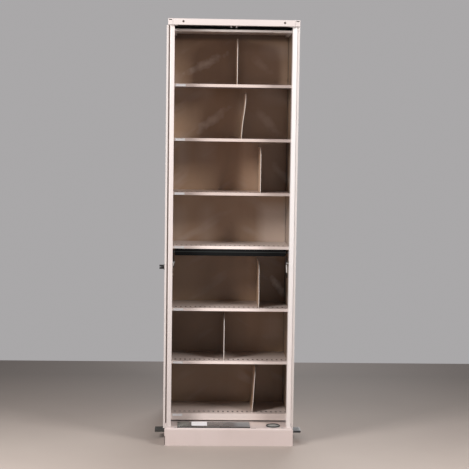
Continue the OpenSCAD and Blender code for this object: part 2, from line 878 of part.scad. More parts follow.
// Spindle, crank and drive pin behind the knob
module lock_spindle() {
    crank_w = 16;
    hub_wall = 4;
    pin_reach = 1;
    in_x = -crank_x - latch_t;
    color(zinc) translate([0, lock_y, knob_z]) {
        bar_x(-panel_out - side_gap - knob_l / 3, -crank_x, lock_shaft_d);
        rotate([-45, 0, 0]) {
            bar_x(in_x, -crank_x, crank_w + 2 * hub_wall);
            translate([0, 0, crank_r]) bar_x(in_x, -crank_x, crank_w);
            block([in_x, -crank_w / 2, 0], [-crank_x, crank_w / 2, crank_r]);
            translate([0, 0, crank_r]) bar_x(in_x, -latch_x + latch_t + pin_reach, drive_pin_d);
        }
    }
}

// Rod across the rotor that joins the two latches
module lock_rod() {
    x = rotor_half_w + rotor_sheet;
    collar_wall = 3;
    collar_l = 4;
    collar_x = bar_end_x - side_gap - collar_l;
    color(zinc) translate([0, lock_y, rod_z]) {
        bar_x(-x, x, lock_shaft_d);
        for (s = [-1, 1]) translate([s * collar_x, 0, 0])
            bar_x(-collar_l / 2, collar_l / 2, lock_shaft_d + 2 * collar_wall);
    }
}

// Outline of a latch: a hooked arm along +X, with an arm for the drive pin
module latch_outline(driven) {
    hub_d = 28;
    arm_w = 16;
    head_l = 36;
    head_w = 24;
    head_shift = 2;
    spread = latch_rest_angle + slot_angle;
    slot_half = drive_pin_d / 2 + pin_gap;
    plate_rim = 5;
    plate_end = 4;
    near_r = knob_drop - crank_r;
    far_r = norm([pin_throw, knob_drop - pin_throw]);
    difference() {
        union() {
            circle(d = hub_d);
            translate([0, -arm_w / 2]) square([latch_r - head_l / 4, arm_w]);
            translate([latch_r - head_l / 2, head_shift - head_w / 2]) square([head_l, head_w]);
            if (driven) rotate(-spread) {
                translate([0, -slot_half - plate_rim])
                    square([far_r + drive_pin_d / 2 + plate_end, 2 * (slot_half + plate_rim)]);
                polygon([[hub_d / 2, 0], [far_r, 0], [far_r * cos(spread), far_r * sin(spread)]]);
            }
        }
        circle(d = lock_shaft_d);
        translate([latch_r, 0]) circle(d = strike_d + 2 * hook_gap);
        translate([latch_r - strike_d / 2 - hook_gap, 0]) square([strike_d + 2 * hook_gap, head_w]);
        if (driven) rotate(-spread) translate([near_r - drive_pin_d / 2 - side_gap, -slot_half])
            square([far_r - near_r + drive_pin_d + 2 * side_gap, 2 * slot_half]);
    }
}

// A latch plate on the rod, from x0 inward, at its open position
module latch(x0, driven) {
    color(zinc) translate([x0, lock_y, rod_z]) rotate([90, 0, 90]) linear_extrude(latch_t)
        scale([-1, 1]) rotate(latch_rest_angle - 90) latch_outline(driven);
}

module left_latch() {
    latch(-latch_x, true);
}

module right_latch() {
    latch(latch_x - latch_t, false);
}

// Foot pedal with a side arm, a treaded plate and a turned down front edge
module pedal(side) {
    plate_t = 4;
    hub_wall = 6;
    x0 = half_w + 2 * side_gap;
    x1 = half_w + pedal_out;
    y1 = shaft_y - pedal_reach;
    y0 = y1 - pedal_l;
    top = shaft_z - plate_t;
    drop = 11;
    rib_h = 1;
    rib_w = 4;
    rib_pitch = pedal_l / 6;
    color(dark_steel) scale([side, 1, 1]) difference() {
        union() {
            block([x0, y0, top - drop], [x0 + pedal_arm_t, shaft_y, top]);
            translate([0, shaft_y, shaft_z]) bar_x(x0, x0 + pedal_arm_t, shaft_d + 2 * hub_wall);
            block([x0, y0, top - plate_t], [x1, y1, top]);
            block([x0, y0, top - drop], [x1, y0 + plate_t, top]);
            for (i = [1:5]) translate([0, y0 + i * rib_pitch, top])
                block([x0 + 2 * pedal_arm_t, 0, 0], [x1 - hub_wall, rib_w, rib_h]);
        }
        translate([x0, shaft_y, shaft_z]) bar_x(-overlap, pedal_arm_t + overlap, shaft_d);
    }
}

module treadle_shaft() {
    x = half_w + 2 * side_gap + pedal_arm_t;
    ring_wall = 4;
    ring_l = 4;
    ring_x = half_w - shaft_boss_l - side_gap - ring_l;
    color(dark_steel) translate([0, shaft_y, shaft_z]) {
        bar_x(-x, x, shaft_d);
        for (s = [-1, 1]) scale([s, 1, 1]) translate([ring_x, 0, 0])
            bar_x(0, ring_l, shaft_d + 2 * ring_wall);
    }
}

// Forked lever on the treadle shaft that draws the plunger down
module release_lever() {
    w = 34;
    hub_wall = 6;
    tine = collar_d / 2;
    neck_room = 2;
    fork_r = neck_d / 2 + neck_room;
    color(dark_steel) translate([0, shaft_y, shaft_z]) difference() {
        union() {
            bar_x(-w / 2, w / 2, shaft_d + 2 * hub_wall);
            block([-w / 2, -lever_l - tine, -lever_t / 2], [w / 2, 0, lever_t / 2]);
        }
        translate([0, -lever_l, 0]) cylinder(r = fork_r, h = 2 * lever_t, center = true);
        block([-fork_r, -lever_l - 2 * tine, -lever_t], [fork_r, -lever_l, lever_t]);
        bar_x(-w, w, shaft_d);
    }
}

// Plunger with a necked part for the fork
module release_plunger() {
    low = shaft_z - fork_gap / 2;
    high = shaft_z + fork_gap / 2;
    tail = 12;
    tip = 2;
    upper_collar_wall = 1;
    color(zinc) translate([0, plunger_y, 0]) {
        translate([0, 0, low - collar_t]) cylinder(d = collar_d, h = collar_t);
        translate([0, 0, low - collar_t - tail])
            cylinder(d = neck_d, h = high - low + collar_t + tail + overlap);
        translate([0, 0, high]) cylinder(d = plunger_d + 2 * upper_collar_wall, h = collar_t);
        translate([0, 0, high]) cylinder(d = plunger_d, h = plunger_top - high - tip);
        translate([0, 0, plunger_top - tip]) cylinder(d1 = plunger_d, d2 = plunger_d - 2 * tip, h = tip);
    }
}

base_end_near();
base_end_far();
base_side(-1);  // base_side_left
base_side(1);  // base_side_right
base_deck();
cross_members();
leveling_feet();
post(-1, -1);  // post_near_left
post(1, -1);  // post_near_right
post(-1, 1);  // post_far_left
post(1, 1);  // post_far_right
top_rail_end(-1);  // top_rail_near
top_rail_end(1);  // top_rail_far
top_rail_side(-1);  // top_rail_left
top_rail_side(1);  // top_rail_right
top_panel();
top_channel();
top_guide_bracket();
mechanism_cover();
deck_plug();
king_pin();
lower_race();
latch_strikes();
plunger_guide();
plunger_spring();
ball_cage();
bearing_balls();
rotor_bottom_pan();
rotor_top_pan();
rotor_base_frame();
upper_race();
index_strikes();
back_panel(-1);  // back_panel_near
back_panel(1);  // back_panel_far
rotor_uprights();
side_wall(-1);  // side_wall_left
side_wall(1);  // side_wall_right
closing_panel(-1);  // closing_panel_left
closing_panel(1);  // closing_panel_right
shelf(shelf_z[0]);  // near_shelf_1
shelf(shelf_z[1]);  // near_shelf_2
shelf(shelf_z[2]);  // near_shelf_3
shelf(shelf_z[3]);  // near_shelf_4
shelf(shelf_z[4]);  // near_shelf_5
shelf(shelf_z[5]);  // near_shelf_6
far_shelves();
file_dividers();
shelf_labels();
lock_channel();
top_pivot_pin();
lock_knob();
lock_spindle();
lock_rod();
left_latch();
right_latch();
pedal(-1);  // pedal_left
pedal(1);  // pedal_right
treadle_shaft();
release_lever();
release_plunger();
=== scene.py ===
import math

import bmesh
import bpy
from mathutils import Matrix, Vector


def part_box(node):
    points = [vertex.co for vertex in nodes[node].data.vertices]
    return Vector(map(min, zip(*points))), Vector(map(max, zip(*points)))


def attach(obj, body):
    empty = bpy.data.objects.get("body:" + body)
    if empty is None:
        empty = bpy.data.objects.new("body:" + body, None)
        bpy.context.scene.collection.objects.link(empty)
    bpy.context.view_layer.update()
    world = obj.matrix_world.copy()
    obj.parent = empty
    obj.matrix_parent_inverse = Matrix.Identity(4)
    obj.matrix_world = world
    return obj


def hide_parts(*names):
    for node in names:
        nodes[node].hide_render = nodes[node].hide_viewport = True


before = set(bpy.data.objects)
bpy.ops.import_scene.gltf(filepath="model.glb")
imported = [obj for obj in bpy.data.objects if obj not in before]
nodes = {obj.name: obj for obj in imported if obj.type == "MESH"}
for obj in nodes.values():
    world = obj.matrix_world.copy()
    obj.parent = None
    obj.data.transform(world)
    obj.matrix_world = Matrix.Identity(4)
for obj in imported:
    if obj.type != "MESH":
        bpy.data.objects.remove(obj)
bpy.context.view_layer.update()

stage = bpy.context.scene
print("frame loaded:", len(nodes), "nodes")

# places that the frame gives: the near side's seven shelves from the top down, and the base's deck
shelves = [f"near_shelf_{i}" for i in range(1, 7)] + ["rotor_bottom_pan"]
shelfTops = [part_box(shelf)[1].z for shelf in shelves]
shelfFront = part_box(shelves[0])[0].y
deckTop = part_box("base_deck")[1].z


# small helpers for node trees
def addNode(tree, kind, settings=None, **values):
    node = tree.nodes.new(kind)
    for key, value in (settings or {}).items():
        setattr(node, key, value)
    for key, value in values.items():
        node.inputs[key.replace("_", " ")].default_value = value
    return node


def linked(tree, kind, inputs, settings=None, **values):
    # adds a node, joins sockets to its inputs by name or number, and gives back its first output
    node = addNode(tree, kind, settings, **values)
    for label, source in inputs.items():
        tree.links.new(source, node.inputs[label])
    return node.outputs[0]


def feed(tree, node, values):
    # values are numbers or output sockets, one for each input in turn
    for socket, value in zip(node.inputs, values):
        if isinstance(value, (int, float)):
            socket.default_value = value
        else:
            tree.links.new(value, socket)
    return node.outputs[0]


def mathOf(tree, operation, *values):
    return feed(tree, addNode(tree, "ShaderNodeMath", {"operation": operation}), values)


def vectorOf(tree, *values):
    return feed(tree, addNode(tree, "ShaderNodeCombineXYZ"), values)


def clamp(value):
    # keeps what a math node gives between 0 and 1
    value.node.use_clamp = True
    return value


def rangeOf(tree, value, low, high, toLow=0.0, toHigh=1.0):
    return linked(tree, "ShaderNodeMapRange", {"Value": value}, {"clamp": True},
                  From_Min=low, From_Max=high, To_Min=toLow, To_Max=toHigh)


def mixColours(tree, share, first, second):
    # first and second are colours or sockets that give one
    mix = addNode(tree, "ShaderNodeMix", {"data_type": "RGBA"})
    tree.links.new(share, mix.inputs["Factor"])
    for label, value in (("A", first), ("B", second)):
        socket = [s for s in mix.inputs if s.name == label and s.type == "RGBA"][0]
        if isinstance(value, tuple):
            socket.default_value = (*value, 1.0)
        else:
            tree.links.new(value, socket)
    return [s for s in mix.outputs if s.type == "RGBA"][0]


def noiseOf(tree, spot, grain):
    # a grain is a noise's scale, per metre, and its detail; spot is the place on the piece
    if "stretch" in grain:
        spot = linked(tree, "ShaderNodeMapping", {"Vector": spot}, Scale=grain["stretch"])
    return linked(tree, "ShaderNodeTexNoise", {"Vector": spot}, Scale=grain["scale"],
                  Detail=grain["detail"], Roughness=grain.get("rough", 0.5))


def bandOf(tree, spot, grain, most=1.0):
    # the band of a noise's values that shows, spread from 0 to most
    return rangeOf(tree, noiseOf(tree, spot, grain), *grain["band"], 0.0, most)


def startMaterial(name, look):
    mat = bpy.data.materials.new(name)
    mat.use_nodes = True
    tree = mat.node_tree
    shader = tree.nodes["Principled BSDF"]
    for label, key, usual in (("Metallic", "metal", 0.0), ("IOR", "ior", 1.45), ("Coat Weight", "coat", 0.0),
                              ("Coat Roughness", "coatRoughness", 0.2)):
        shader.inputs[label].default_value = look.get(key, usual)
    return tree, shader, addNode(tree, "ShaderNodeTexCoord").outputs["Object"]


def edgeMask(tree, look):
    # how far the rounded normal turns from the flat one: 1 on an edge
    bevel = addNode(tree, "ShaderNodeBevel", {"samples": 4}, Radius=look["edge"]).outputs["Normal"]
    flat = addNode(tree, "ShaderNodeNewGeometry").outputs["Normal"]
    dot = addNode(tree, "ShaderNodeVectorMath", {"operation": "DOT_PRODUCT"})
    tree.links.new(bevel, dot.inputs[0])
    tree.links.new(flat, dot.inputs[1])
    return bevel, rangeOf(tree, dot.outputs["Value"], 1.0, 1.0 - look["edgeTurn"])


glossBand = (0.3, 0.7)    # the values of a noise that shift the gloss


def roughen(tree, shader, noise, look):
    # the noise spreads the roughness from the look's low value to its high one
    spread = rangeOf(tree, noise, *glossBand, look["roughLow"], look["roughHigh"])
    tree.links.new(spread, shader.inputs["Roughness"])


def bumpOf(tree, shader, normal, *layers):
    # each layer is a noise, its strength and its depth in metres
    for noise, strength, depth in layers:
        inputs = {"Height": noise, "Normal": normal} if normal else {"Height": noise}
        normal = linked(tree, "ShaderNodeBump", inputs, Strength=strength, Distance=depth)
    tree.links.new(normal, shader.inputs["Normal"])


# the slots that dividers hook into: one row across each shelf
shelfSlots = {"pitch": 0.025, "line": 0.261, "halfWidth": 0.0046, "reach": 0.0130}

# how a zone's limits read a place: the axis, and how the place along it is folded first
foldings = {
    "across": [0], "along": [1], "up": [2],
    "bothSides": [0, "ABSOLUTE"], "bothEnds": [1, "ABSOLUTE"],
    "fromSlot": [0, "PINGPONG", 0.5 * shelfSlots["pitch"]],
}


def zoneMask(tree, place, limits):
    # 1 inside every pair of ends, over a soft edge in metres; an end that is None is open
    mask = None
    for label, (low, high, soft) in limits.items():
        axis, *fold = foldings[label]
        value = place[axis]
        if fold:
            value = mathOf(tree, fold[0], value, *fold[1:])
        for sign, end in ((1.0, low), (-1.0, high)):
            if end is not None:
                step = clamp(mathOf(tree, "MULTIPLY_ADD", value, sign / soft, 0.5 - sign * end / soft))
                mask = mathOf(tree, "MULTIPLY", mask, step) if mask else step
    return mask


def openMaterial(name):
    # what a later layer of colour needs of a material that is made
    tree = bpy.data.materials[name].node_tree
    coords = [n for n in tree.nodes if n.type == "TEX_COORD"][0]
    return tree, tree.nodes["Principled BSDF"], coords.outputs["Object"]


def axesOf(tree, spot):
    # the place across, along and up
    split = addNode(tree, "ShaderNodeSeparateXYZ")
    tree.links.new(spot, split.inputs[0])
    return split.outputs


def layColour(tree, shader, share, colour):
    # lays a colour over what the shader has so far
    before = shader.inputs["Base Color"].links[0].from_socket
    tree.links.new(mixColours(tree, share, before, colour), shader.inputs["Base Color"])


def layZones(name, zones):
    # a zone is a colour, its strength and the limits that it fills; a later one lies on top
    tree, shader, spot = openMaterial(name)
    place = axesOf(tree, spot)
    for colour, strength, limits in zones.values():
        layColour(tree, shader, mathOf(tree, "MULTIPLY", zoneMask(tree, place, limits), strength), colour)


def sheetPaint(name, look, zones=None):
    # baked enamel on sheet steel: slow drift, faint stains, specks, chipped edges and orange peel
    tree, shader, spot = startMaterial(name, look)
    slow = mixColours(tree, bandOf(tree, spot, look["drift"]), look["colour"], look["tint"])
    dull = mixColours(tree, bandOf(tree, spot, look["stains"], look["stain"]), slow, look["dirt"])
    fine = mixColours(tree, bandOf(tree, spot, look["specks"], look["speck"]), dull, look["dirt"])
    bevel, edge = edgeMask(tree, look)
    worn = mathOf(tree, "MULTIPLY", edge, bandOf(tree, spot, look["chips"], look["wear"]))
    tree.links.new(mixColours(tree, worn, fine, look["bare"]), shader.inputs["Base Color"])
    roughen(tree, shader, noiseOf(tree, spot, look["gloss"]), look)
    bumpOf(tree, shader, bevel, (noiseOf(tree, spot, look["waves"]), look["wave"], look["waveDepth"]),
           (noiseOf(tree, spot, look["peels"]), look["peel"], look["peelDepth"]))
    if zones:
        layZones(name, zones)


beigeLook = {
    "colour": (0.680, 0.562, 0.520), "tint": (0.640, 0.520, 0.475), "dirt": (0.36, 0.28, 0.24),
    "bare": (0.70, 0.64, 0.60), "coat": 0.35, "coatRoughness": 0.18, "roughLow": 0.32, "roughHigh": 0.44,
    "stain": 0.16, "speck": 0.20, "wear": 0.5, "edge": 0.0009, "edgeTurn": 0.35,
    "wave": 0.05, "waveDepth": 0.004, "peel": 0.10, "peelDepth": 0.0006,
    "drift": {"scale": 1.6, "detail": 3.0, "band": (0.35, 0.65)},
    "stains": {"scale": 7.0, "detail": 6.0, "rough": 0.6, "stretch": (1.0, 1.0, 0.35), "band": (0.52, 0.78)},
    "specks": {"scale": 160.0, "detail": 2.0, "band": (0.66, 0.74)},
    "chips": {"scale": 60.0, "detail": 4.0, "band": (0.45, 0.70)},
    "gloss": {"scale": 9.0, "detail": 4.0},
    "waves": {"scale": 5.0, "detail": 1.0},
    "peels": {"scale": 900.0, "detail": 2.0},
}
sheetPaint("beigePaint", beigeLook)

# the housing's frame stands nearer to the lamps, so the same enamel is painted a little darker and greyer
# there, a painted shade; it looks a little cleaner, with a duller top
frameShadedLook = dict(beigeLook, colour=(0.615, 0.545, 0.522), tint=(0.590, 0.515, 0.490), stain=0.10, wear=0.35)
frameZones = {"duller top": ((0.50, 0.43, 0.41), 0.45, {"up": (2.10, None, 0.0005)})}
sheetPaint("framePaint", frameShadedLook, frameZones)

# posts: a groove beside the jamb with dust and a painted shade on the left and a painted light on the right,
# a paler jamb, a painted shade on the left jamb higher up, and a paler, greyer right side
grooveStart, grooveEnd, crisp = 0.3153, 0.3238, 0.0004
leftJamb, leftGroove = (None, -grooveEnd, crisp), (-grooveEnd, -grooveStart, crisp)
rightGroove, rightSide = (grooveStart, grooveEnd, crisp), (0.28, None, crisp)
postZones = {
    "paler right side": ((0.715, 0.680, 0.668), 0.6, {"across": rightSide}),
    "warm right foot": ((0.740, 0.640, 0.605), 0.6, {"across": rightSide, "up": (-0.10, 0.65, 0.60)}),
    "pale jamb": ((0.750, 0.690, 0.660), 0.7, {"bothSides": (grooveEnd, None, crisp)}),
    # a painted shade on the left jamb, darker higher up
    "painted shade on the left jamb, higher up": ((0.50, 0.46, 0.44), 0.45, {"across": leftJamb, "up": (1.10, None, 1.40)}),
    # dust and a painted shade in the left groove
    "dust and painted shade in the left groove": ((0.16, 0.12, 0.10), 0.8, {"across": leftGroove}),
    # a painted light in the right groove
    "painted light in the right groove": ((0.90, 0.86, 0.84), 0.9, {"across": rightGroove}),
}
sheetPaint("postEnamel", frameShadedLook, postZones)

# base: an open seam at the near left corner has gathered dirt and is painted near black, dirt and a painted
# shade together
baseLook = dict(beigeLook, colour=(0.650, 0.546, 0.520), tint=(0.612, 0.505, 0.475))
# dirt and a painted shade in the seam
baseZones = {"dirt and painted shade in the seam": ((0.035, 0.028, 0.024), 0.92, {
    "across": (None, -0.3212, 0.0006), "along": (None, -0.4600, 0.0006), "up": (0.004, 0.050, 0.004)})}
sheetPaint("baseEnamel", baseLook, baseZones)

# the lid has lost its gloss under dust
lidLook = dict(frameShadedLook, colour=(0.52, 0.46, 0.44), tint=(0.45, 0.40, 0.38), dirt=(0.30, 0.27, 0.25),
               stain=0.45, coat=0.0, ior=1.3, roughLow=0.66, roughHigh=0.82)
sheetPaint("lidEnamel", lidLook)

# the plug in the deck has gone grey with handling
plugLook = dict(beigeLook, colour=(0.40, 0.395, 0.37), tint=(0.27, 0.27, 0.25), stain=0.4,
                drift=dict(beigeLook["drift"], scale=24.0))
sheetPaint("plugEnamel", plugLook)

# the top pan's lip sits under the frame, in its shadow, and is painted the palest, a painted light
panLitLook = dict(beigeLook, colour=(0.880, 0.800, 0.760), tint=(0.850, 0.760, 0.720), stain=0.05, wear=0.2)
sheetPaint("panEnamel", panLitLook)

# shelves: the upper three painted darker, a painted shade, and the lower ones paler, a painted light on their
# lips; duller tops on the lower ones with a painted shade towards the back and a painted light on the fourth
# shelf's top, and a painted shade round every divider slot
# the upper shelves painted darker as a painted shade, the lower ones paler as a painted light
upperShadedLook = dict(beigeLook, colour=(0.545, 0.445, 0.404), tint=(0.515, 0.414, 0.373))
lowerLitLook = dict(beigeLook, colour=(0.780, 0.665, 0.620), tint=(0.740, 0.625, 0.575))
insideLips = (None, 0.3092, 0.0006)
slotRow = (shelfSlots["line"] - shelfSlots["reach"], shelfSlots["line"] + shelfSlots["reach"], 0.003)
# a painted shade round every divider slot
slotShadeZones = {"painted shade round the slots": ((0.07, 0.05, 0.04), 0.85,
                            {"fromSlot": (None, shelfSlots["halfWidth"], 0.001), "bothEnds": slotRow})}
lowerZones = {
    "duller tops": ((0.660, 0.545, 0.500), 0.75, {"bothEnds": insideLips}),
    # a painted shade towards the back of each lower shelf
    "painted shade towards the back": ((0.30, 0.23, 0.19), 0.8, {"bothEnds": (None, 0.185, 0.14)}),
    # a painted light on the fourth shelf's top
    "painted light on the fourth shelf's top":
        ((0.92, 0.81, 0.76), 0.45,
         {"up": (shelfTops[3] - 0.0015, shelfTops[3] + 0.02, 0.0004), "bothEnds": insideLips}),
    "duller bottom pan": ((0.62, 0.53, 0.49), 0.5, {"up": (None, shelfTops[-1] - 0.001, 0.0006)}),
}
sheetPaint("upperEnamel", upperShadedLook, slotShadeZones)
sheetPaint("shelfEnamel", lowerLitLook, {**lowerZones, **slotShadeZones})

# inside the rotor the same enamel is painted dark brown, a painted shade, and carries pale streaks of painted
# reflection and painted streaks of lamp light
innerShadedLook = dict(beigeLook, colour=(0.452, 0.298, 0.195), tint=(0.378, 0.238, 0.149), dirt=(0.20, 0.13, 0.09),
                 stain=0.3, roughLow=0.28, roughHigh=0.42, wave=0.16,
                 waves=dict(beigeLook["waves"], scale=3.2))
# pale diagonal streaks of painted reflection on the inner panels
reflectionStreaks = {"colour": (0.62, 0.51, 0.46), "strength": 0.30, "middle": 0.03, "turn": 0.55,
        "size": (0.26, 1.0, 0.075), "detail": 2.0, "band": (0.56, 0.74), "fade": 20.0}
# painted streaks of lamp light on the near panel
lightStreaks = {
    "colour": (0.86, 0.76, 0.69), "ragged": {"scale": 30.0, "detail": 3.0}, "wobble": 1.6, "edge": 1.15,
    "through": 1000.0,    # a streak's depth, so that it fills the sheet
    # place across and up, half length, half width, slope in degrees and strength
    "places": [(-0.139, 1.937, 0.110, 0.023, 27.2, 0.68), (0.161, 1.938, 0.066, 0.022, -41.3, 0.48),
               (-0.104, 1.639, 0.108, 0.024, 36.9, 0.52), (0.198, 1.639, 0.084, 0.026, -45.8, 0.72),
               (0.270, 1.370, 0.068, 0.020, -49.3, 1.00), (0.268, 0.760, 0.063, 0.020, -52.4, 0.95)],
}


def layReflectionStreaks(name, reflectionStreaks):
    # soft streaks of painted reflection, rising to the middle from both sides
    tree, shader, spot = openMaterial(name)
    place = axesOf(tree, spot)
    shift = mathOf(tree, "SUBTRACT", place[0], reflectionStreaks["middle"])
    side = mathOf(tree, "ABSOLUTE", shift)
    folded = vectorOf(tree, side, mathOf(tree, "SIGN", shift), place[2])
    turned = linked(tree, "ShaderNodeMapping", {"Vector": folded}, {"vector_type": "TEXTURE"},
                    Rotation=(0.0, reflectionStreaks["turn"], 0.0), Scale=reflectionStreaks["size"])
    streak = linked(tree, "ShaderNodeTexNoise", {"Vector": turned}, Scale=1.0, Detail=reflectionStreaks["detail"])
    mask = rangeOf(tree, streak, *reflectionStreaks["band"], 0.0, reflectionStreaks["strength"])
    fade = clamp(mathOf(tree, "MULTIPLY", side, reflectionStreaks["fade"]))
    layColour(tree, shader, mathOf(tree, "MULTIPLY", mask, fade), reflectionStreaks["colour"])


def layLightStreaks(name, lightStreaks):
    # a soft ragged oval of painted lamp light for each streak on the near panel; where two meet, the stronger
    # one shows
    tree, shader, spot = openMaterial(name)
    ragged = noiseOf(tree, spot, lightStreaks["ragged"])
    wobble = mathOf(tree, "MULTIPLY_ADD", ragged, lightStreaks["wobble"], -0.5 * lightStreaks["wobble"])
    mask = None
    for x, z, halfLength, halfWidth, slope, strength in lightStreaks["places"]:
        oval = linked(tree, "ShaderNodeMapping", {"Vector": spot}, {"vector_type": "TEXTURE"},
                      Location=(x, 0.0, z), Rotation=(0.0, -math.radians(slope), 0.0),
                      Scale=(halfLength, lightStreaks["through"], halfWidth))
        reach = addNode(tree, "ShaderNodeVectorMath", {"operation": "LENGTH"})
        tree.links.new(oval, reach.inputs[0])
        out = mathOf(tree, "ADD", reach.outputs["Value"], wobble)
        part = mathOf(tree, "MULTIPLY", clamp(mathOf(tree, "SUBTRACT", lightStreaks["edge"], out)), strength)
        mask = mathOf(tree, "MAXIMUM", mask, part) if mask else part
    nearSide = mathOf(tree, "LESS_THAN", axesOf(tree, spot)[1], 0.0)
    layColour(tree, shader, mathOf(tree, "MULTIPLY", mask, nearSide), lightStreaks["colour"])


# a warm painted light where lamp light reaches the inner panels
warmPaintedLight = (0.66, 0.47, 0.34)
innerZones = {
    # a painted shade, darkest low on the left
    "painted shade low left":
        ((0.16, 0.100, 0.062), 0.45, {"across": (None, 0.06, 0.12), "up": (None, 0.94, 0.05)}),
    "shade under the top pan": ((0.06, 0.045, 0.035), 0.6, {"up": (2.066, None, 0.016)}),
    # a painted light in the upper right corners
    "upper right": (warmPaintedLight, 0.50, {"across": (0.06, 0.296, 0.04), "up": (1.26, 2.03, 0.06)}),
    # a painted light right of the third tier's divider, in its shadow
    "third tier, right of its divider":
        (warmPaintedLight, 0.35, {"across": (0.157, 0.296, 0.006), "up": (1.276, 1.53, 0.01)}),
    # a painted light on the open fourth tier, which has no divider
    "fourth tier": (warmPaintedLight, 0.20, {"up": (1.02, 1.245, 0.04)}),
}
# painted pools of lamp light: left and right end, low and high end, and strength
lightPools = {"colour": (0.84, 0.72, 0.65), "soft": 0.06, "places": [
    (0.165, None, 0.98, 1.19, 0.42), (None, -0.235, 0.98, 1.18, 0.16), (-0.150, -0.085, 0.98, 1.19, 0.16),
    (0.170, 0.297, 1.985, 2.035, 0.35), (0.160, 0.297, 1.745, 1.83, 0.30), (-0.297, -0.10, 1.755, 1.83, 0.22),
    (-0.297, -0.22, 1.40, 1.56, 0.20), (-0.170, -0.09, 1.42, 1.56, 0.18), (0.200, 0.297, 0.46, 0.60, 0.18)]}
for i, (left, right, low, high, strength) in enumerate(lightPools["places"]):
    limits = {"across": (left, right, lightPools["soft"]), "up": (low, high, lightPools["soft"])}
    innerZones[f"pool {i}"] = (lightPools["colour"], strength, limits)
innerZones["side walls in shade"] = ((0.040, 0.027, 0.019), 0.68, {"bothSides": (0.3005, 0.3032, 0.0006)})
# the inner enamel in its painted shade, then its painted reflections, painted lamp light and zones
sheetPaint("innerPaint", innerShadedLook)
layReflectionStreaks("innerPaint", reflectionStreaks)
layLightStreaks("innerPaint", lightStreaks)
layZones("innerPaint", innerZones)

# the lock channel carries a painted highlight in a fine line along its middle
blackLook = dict(beigeLook, colour=(0.012, 0.012, 0.013), tint=(0.018, 0.017, 0.017), bare=(0.09, 0.09, 0.09),
                 dirt=(0.05, 0.045, 0.04), stain=0.15, roughLow=0.55, roughHigh=0.7, wear=0.8, coat=0.0,
                 ior=1.2)
channelZones = {
    "deep black": ((0.002, 0.002, 0.002), 0.85, {"up": (0.90, None, 0.001)}),
    # a painted highlight along the channel's middle
    "painted highlight line": ((0.20, 0.22, 0.215), 0.3, {"up": (0.9690, 0.9710, 0.0012)}),
}
sheetPaint("blackPaint", blackLook, channelZones)

# latches: blackened, with a bright rubbed patch where each one strikes, and brown below it on the left
leftLatch, rightLatch = (None, 0.0, 0.001), (0.0, None, 0.001)
latchZones = {
    "left strike": ((0.62, 0.60, 0.57), 0.85, {"across": leftLatch, "up": (0.898, 0.911, 0.003)}),
    "left foot": ((0.20, 0.14, 0.10), 0.9, {"across": leftLatch, "up": (None, 0.890, 0.003)}),
    "right strike": ((0.70, 0.66, 0.62), 0.85, {"across": rightLatch, "up": (0.869, 0.909, 0.003)}),
}
sheetPaint("latchSteel", blackLook, latchZones)

# dark steel of the mechanism and the right pedal
darkLook = dict(beigeLook, colour=(0.050, 0.050, 0.052), tint=(0.036, 0.037, 0.040), dirt=(0.11, 0.10, 0.09),
                bare=(0.20, 0.20, 0.20), stain=0.35, roughLow=0.32, roughHigh=0.5, wear=0.8, coat=0.0,
                metal=0.2)
sheetPaint("darkSteel", darkLook)

# the left pedal's coat has greyed and gone dull, the right one's is worn smooth like the other dark parts
pedalLook = dict(darkLook, colour=(0.060, 0.058, 0.053), tint=(0.042, 0.040, 0.037), dirt=(0.12, 0.11, 0.095),
                 roughLow=0.62, roughHigh=0.82, metal=0.0, ior=1.3, peel=0.4)
sheetPaint("pedalCoat", pedalLook)

# the low cover on the deck is a smooth grey that picks up its surroundings, with a painted reflection at its
# right end and a painted highlight along its back edge
coverLook = dict(darkLook, colour=(0.075, 0.073, 0.073), tint=(0.060, 0.058, 0.058), dirt=(0.17, 0.16, 0.14),
                 bare=(0.34, 0.34, 0.33), speck=0.05, roughLow=0.20, roughHigh=0.34, metal=0.35,
                 drift=dict(beigeLook["drift"], scale=5.0))
coverZones = {
    "left patch":
        ((0.30, 0.31, 0.28), 0.6, {"across": (None, -0.205, 0.03), "along": (-0.445, -0.345, 0.01)}),
    # a painted reflection at the right end
    "painted reflection at the right":
        ((0.30, 0.33, 0.36), 0.6, {"across": (0.035, None, 0.03), "along": (-0.440, -0.350, 0.02)}),
    # a painted highlight along the back edge
    "painted highlight on the back edge": ((0.42, 0.42, 0.42), 0.7, {"along": (-0.345, None, 0.004)}),
}
sheetPaint("coverSteel", coverLook, coverZones)


def platedSteel(name, look):
    # zinc or chrome: cloudy patches, a little dirt, brighter edges and fine brushing
    tree, shader, spot = startMaterial(name, look)
    shade = mixColours(tree, bandOf(tree, spot, look["clouds"]), look["colour"], look["tint"])
    dirty = mixColours(tree, bandOf(tree, spot, look["spots"], look["spot"]), shade, look["dirt"])
    bevel, edge = edgeMask(tree, look)
    worn = mathOf(tree, "MULTIPLY", edge, look["wear"])
    tree.links.new(mixColours(tree, worn, dirty, look["bare"]), shader.inputs["Base Color"])
    brush = noiseOf(tree, spot, look["brushing"])
    roughen(tree, shader, brush, look)
    bumpOf(tree, shader, bevel, (brush, look["brush"], look["brushDepth"]))


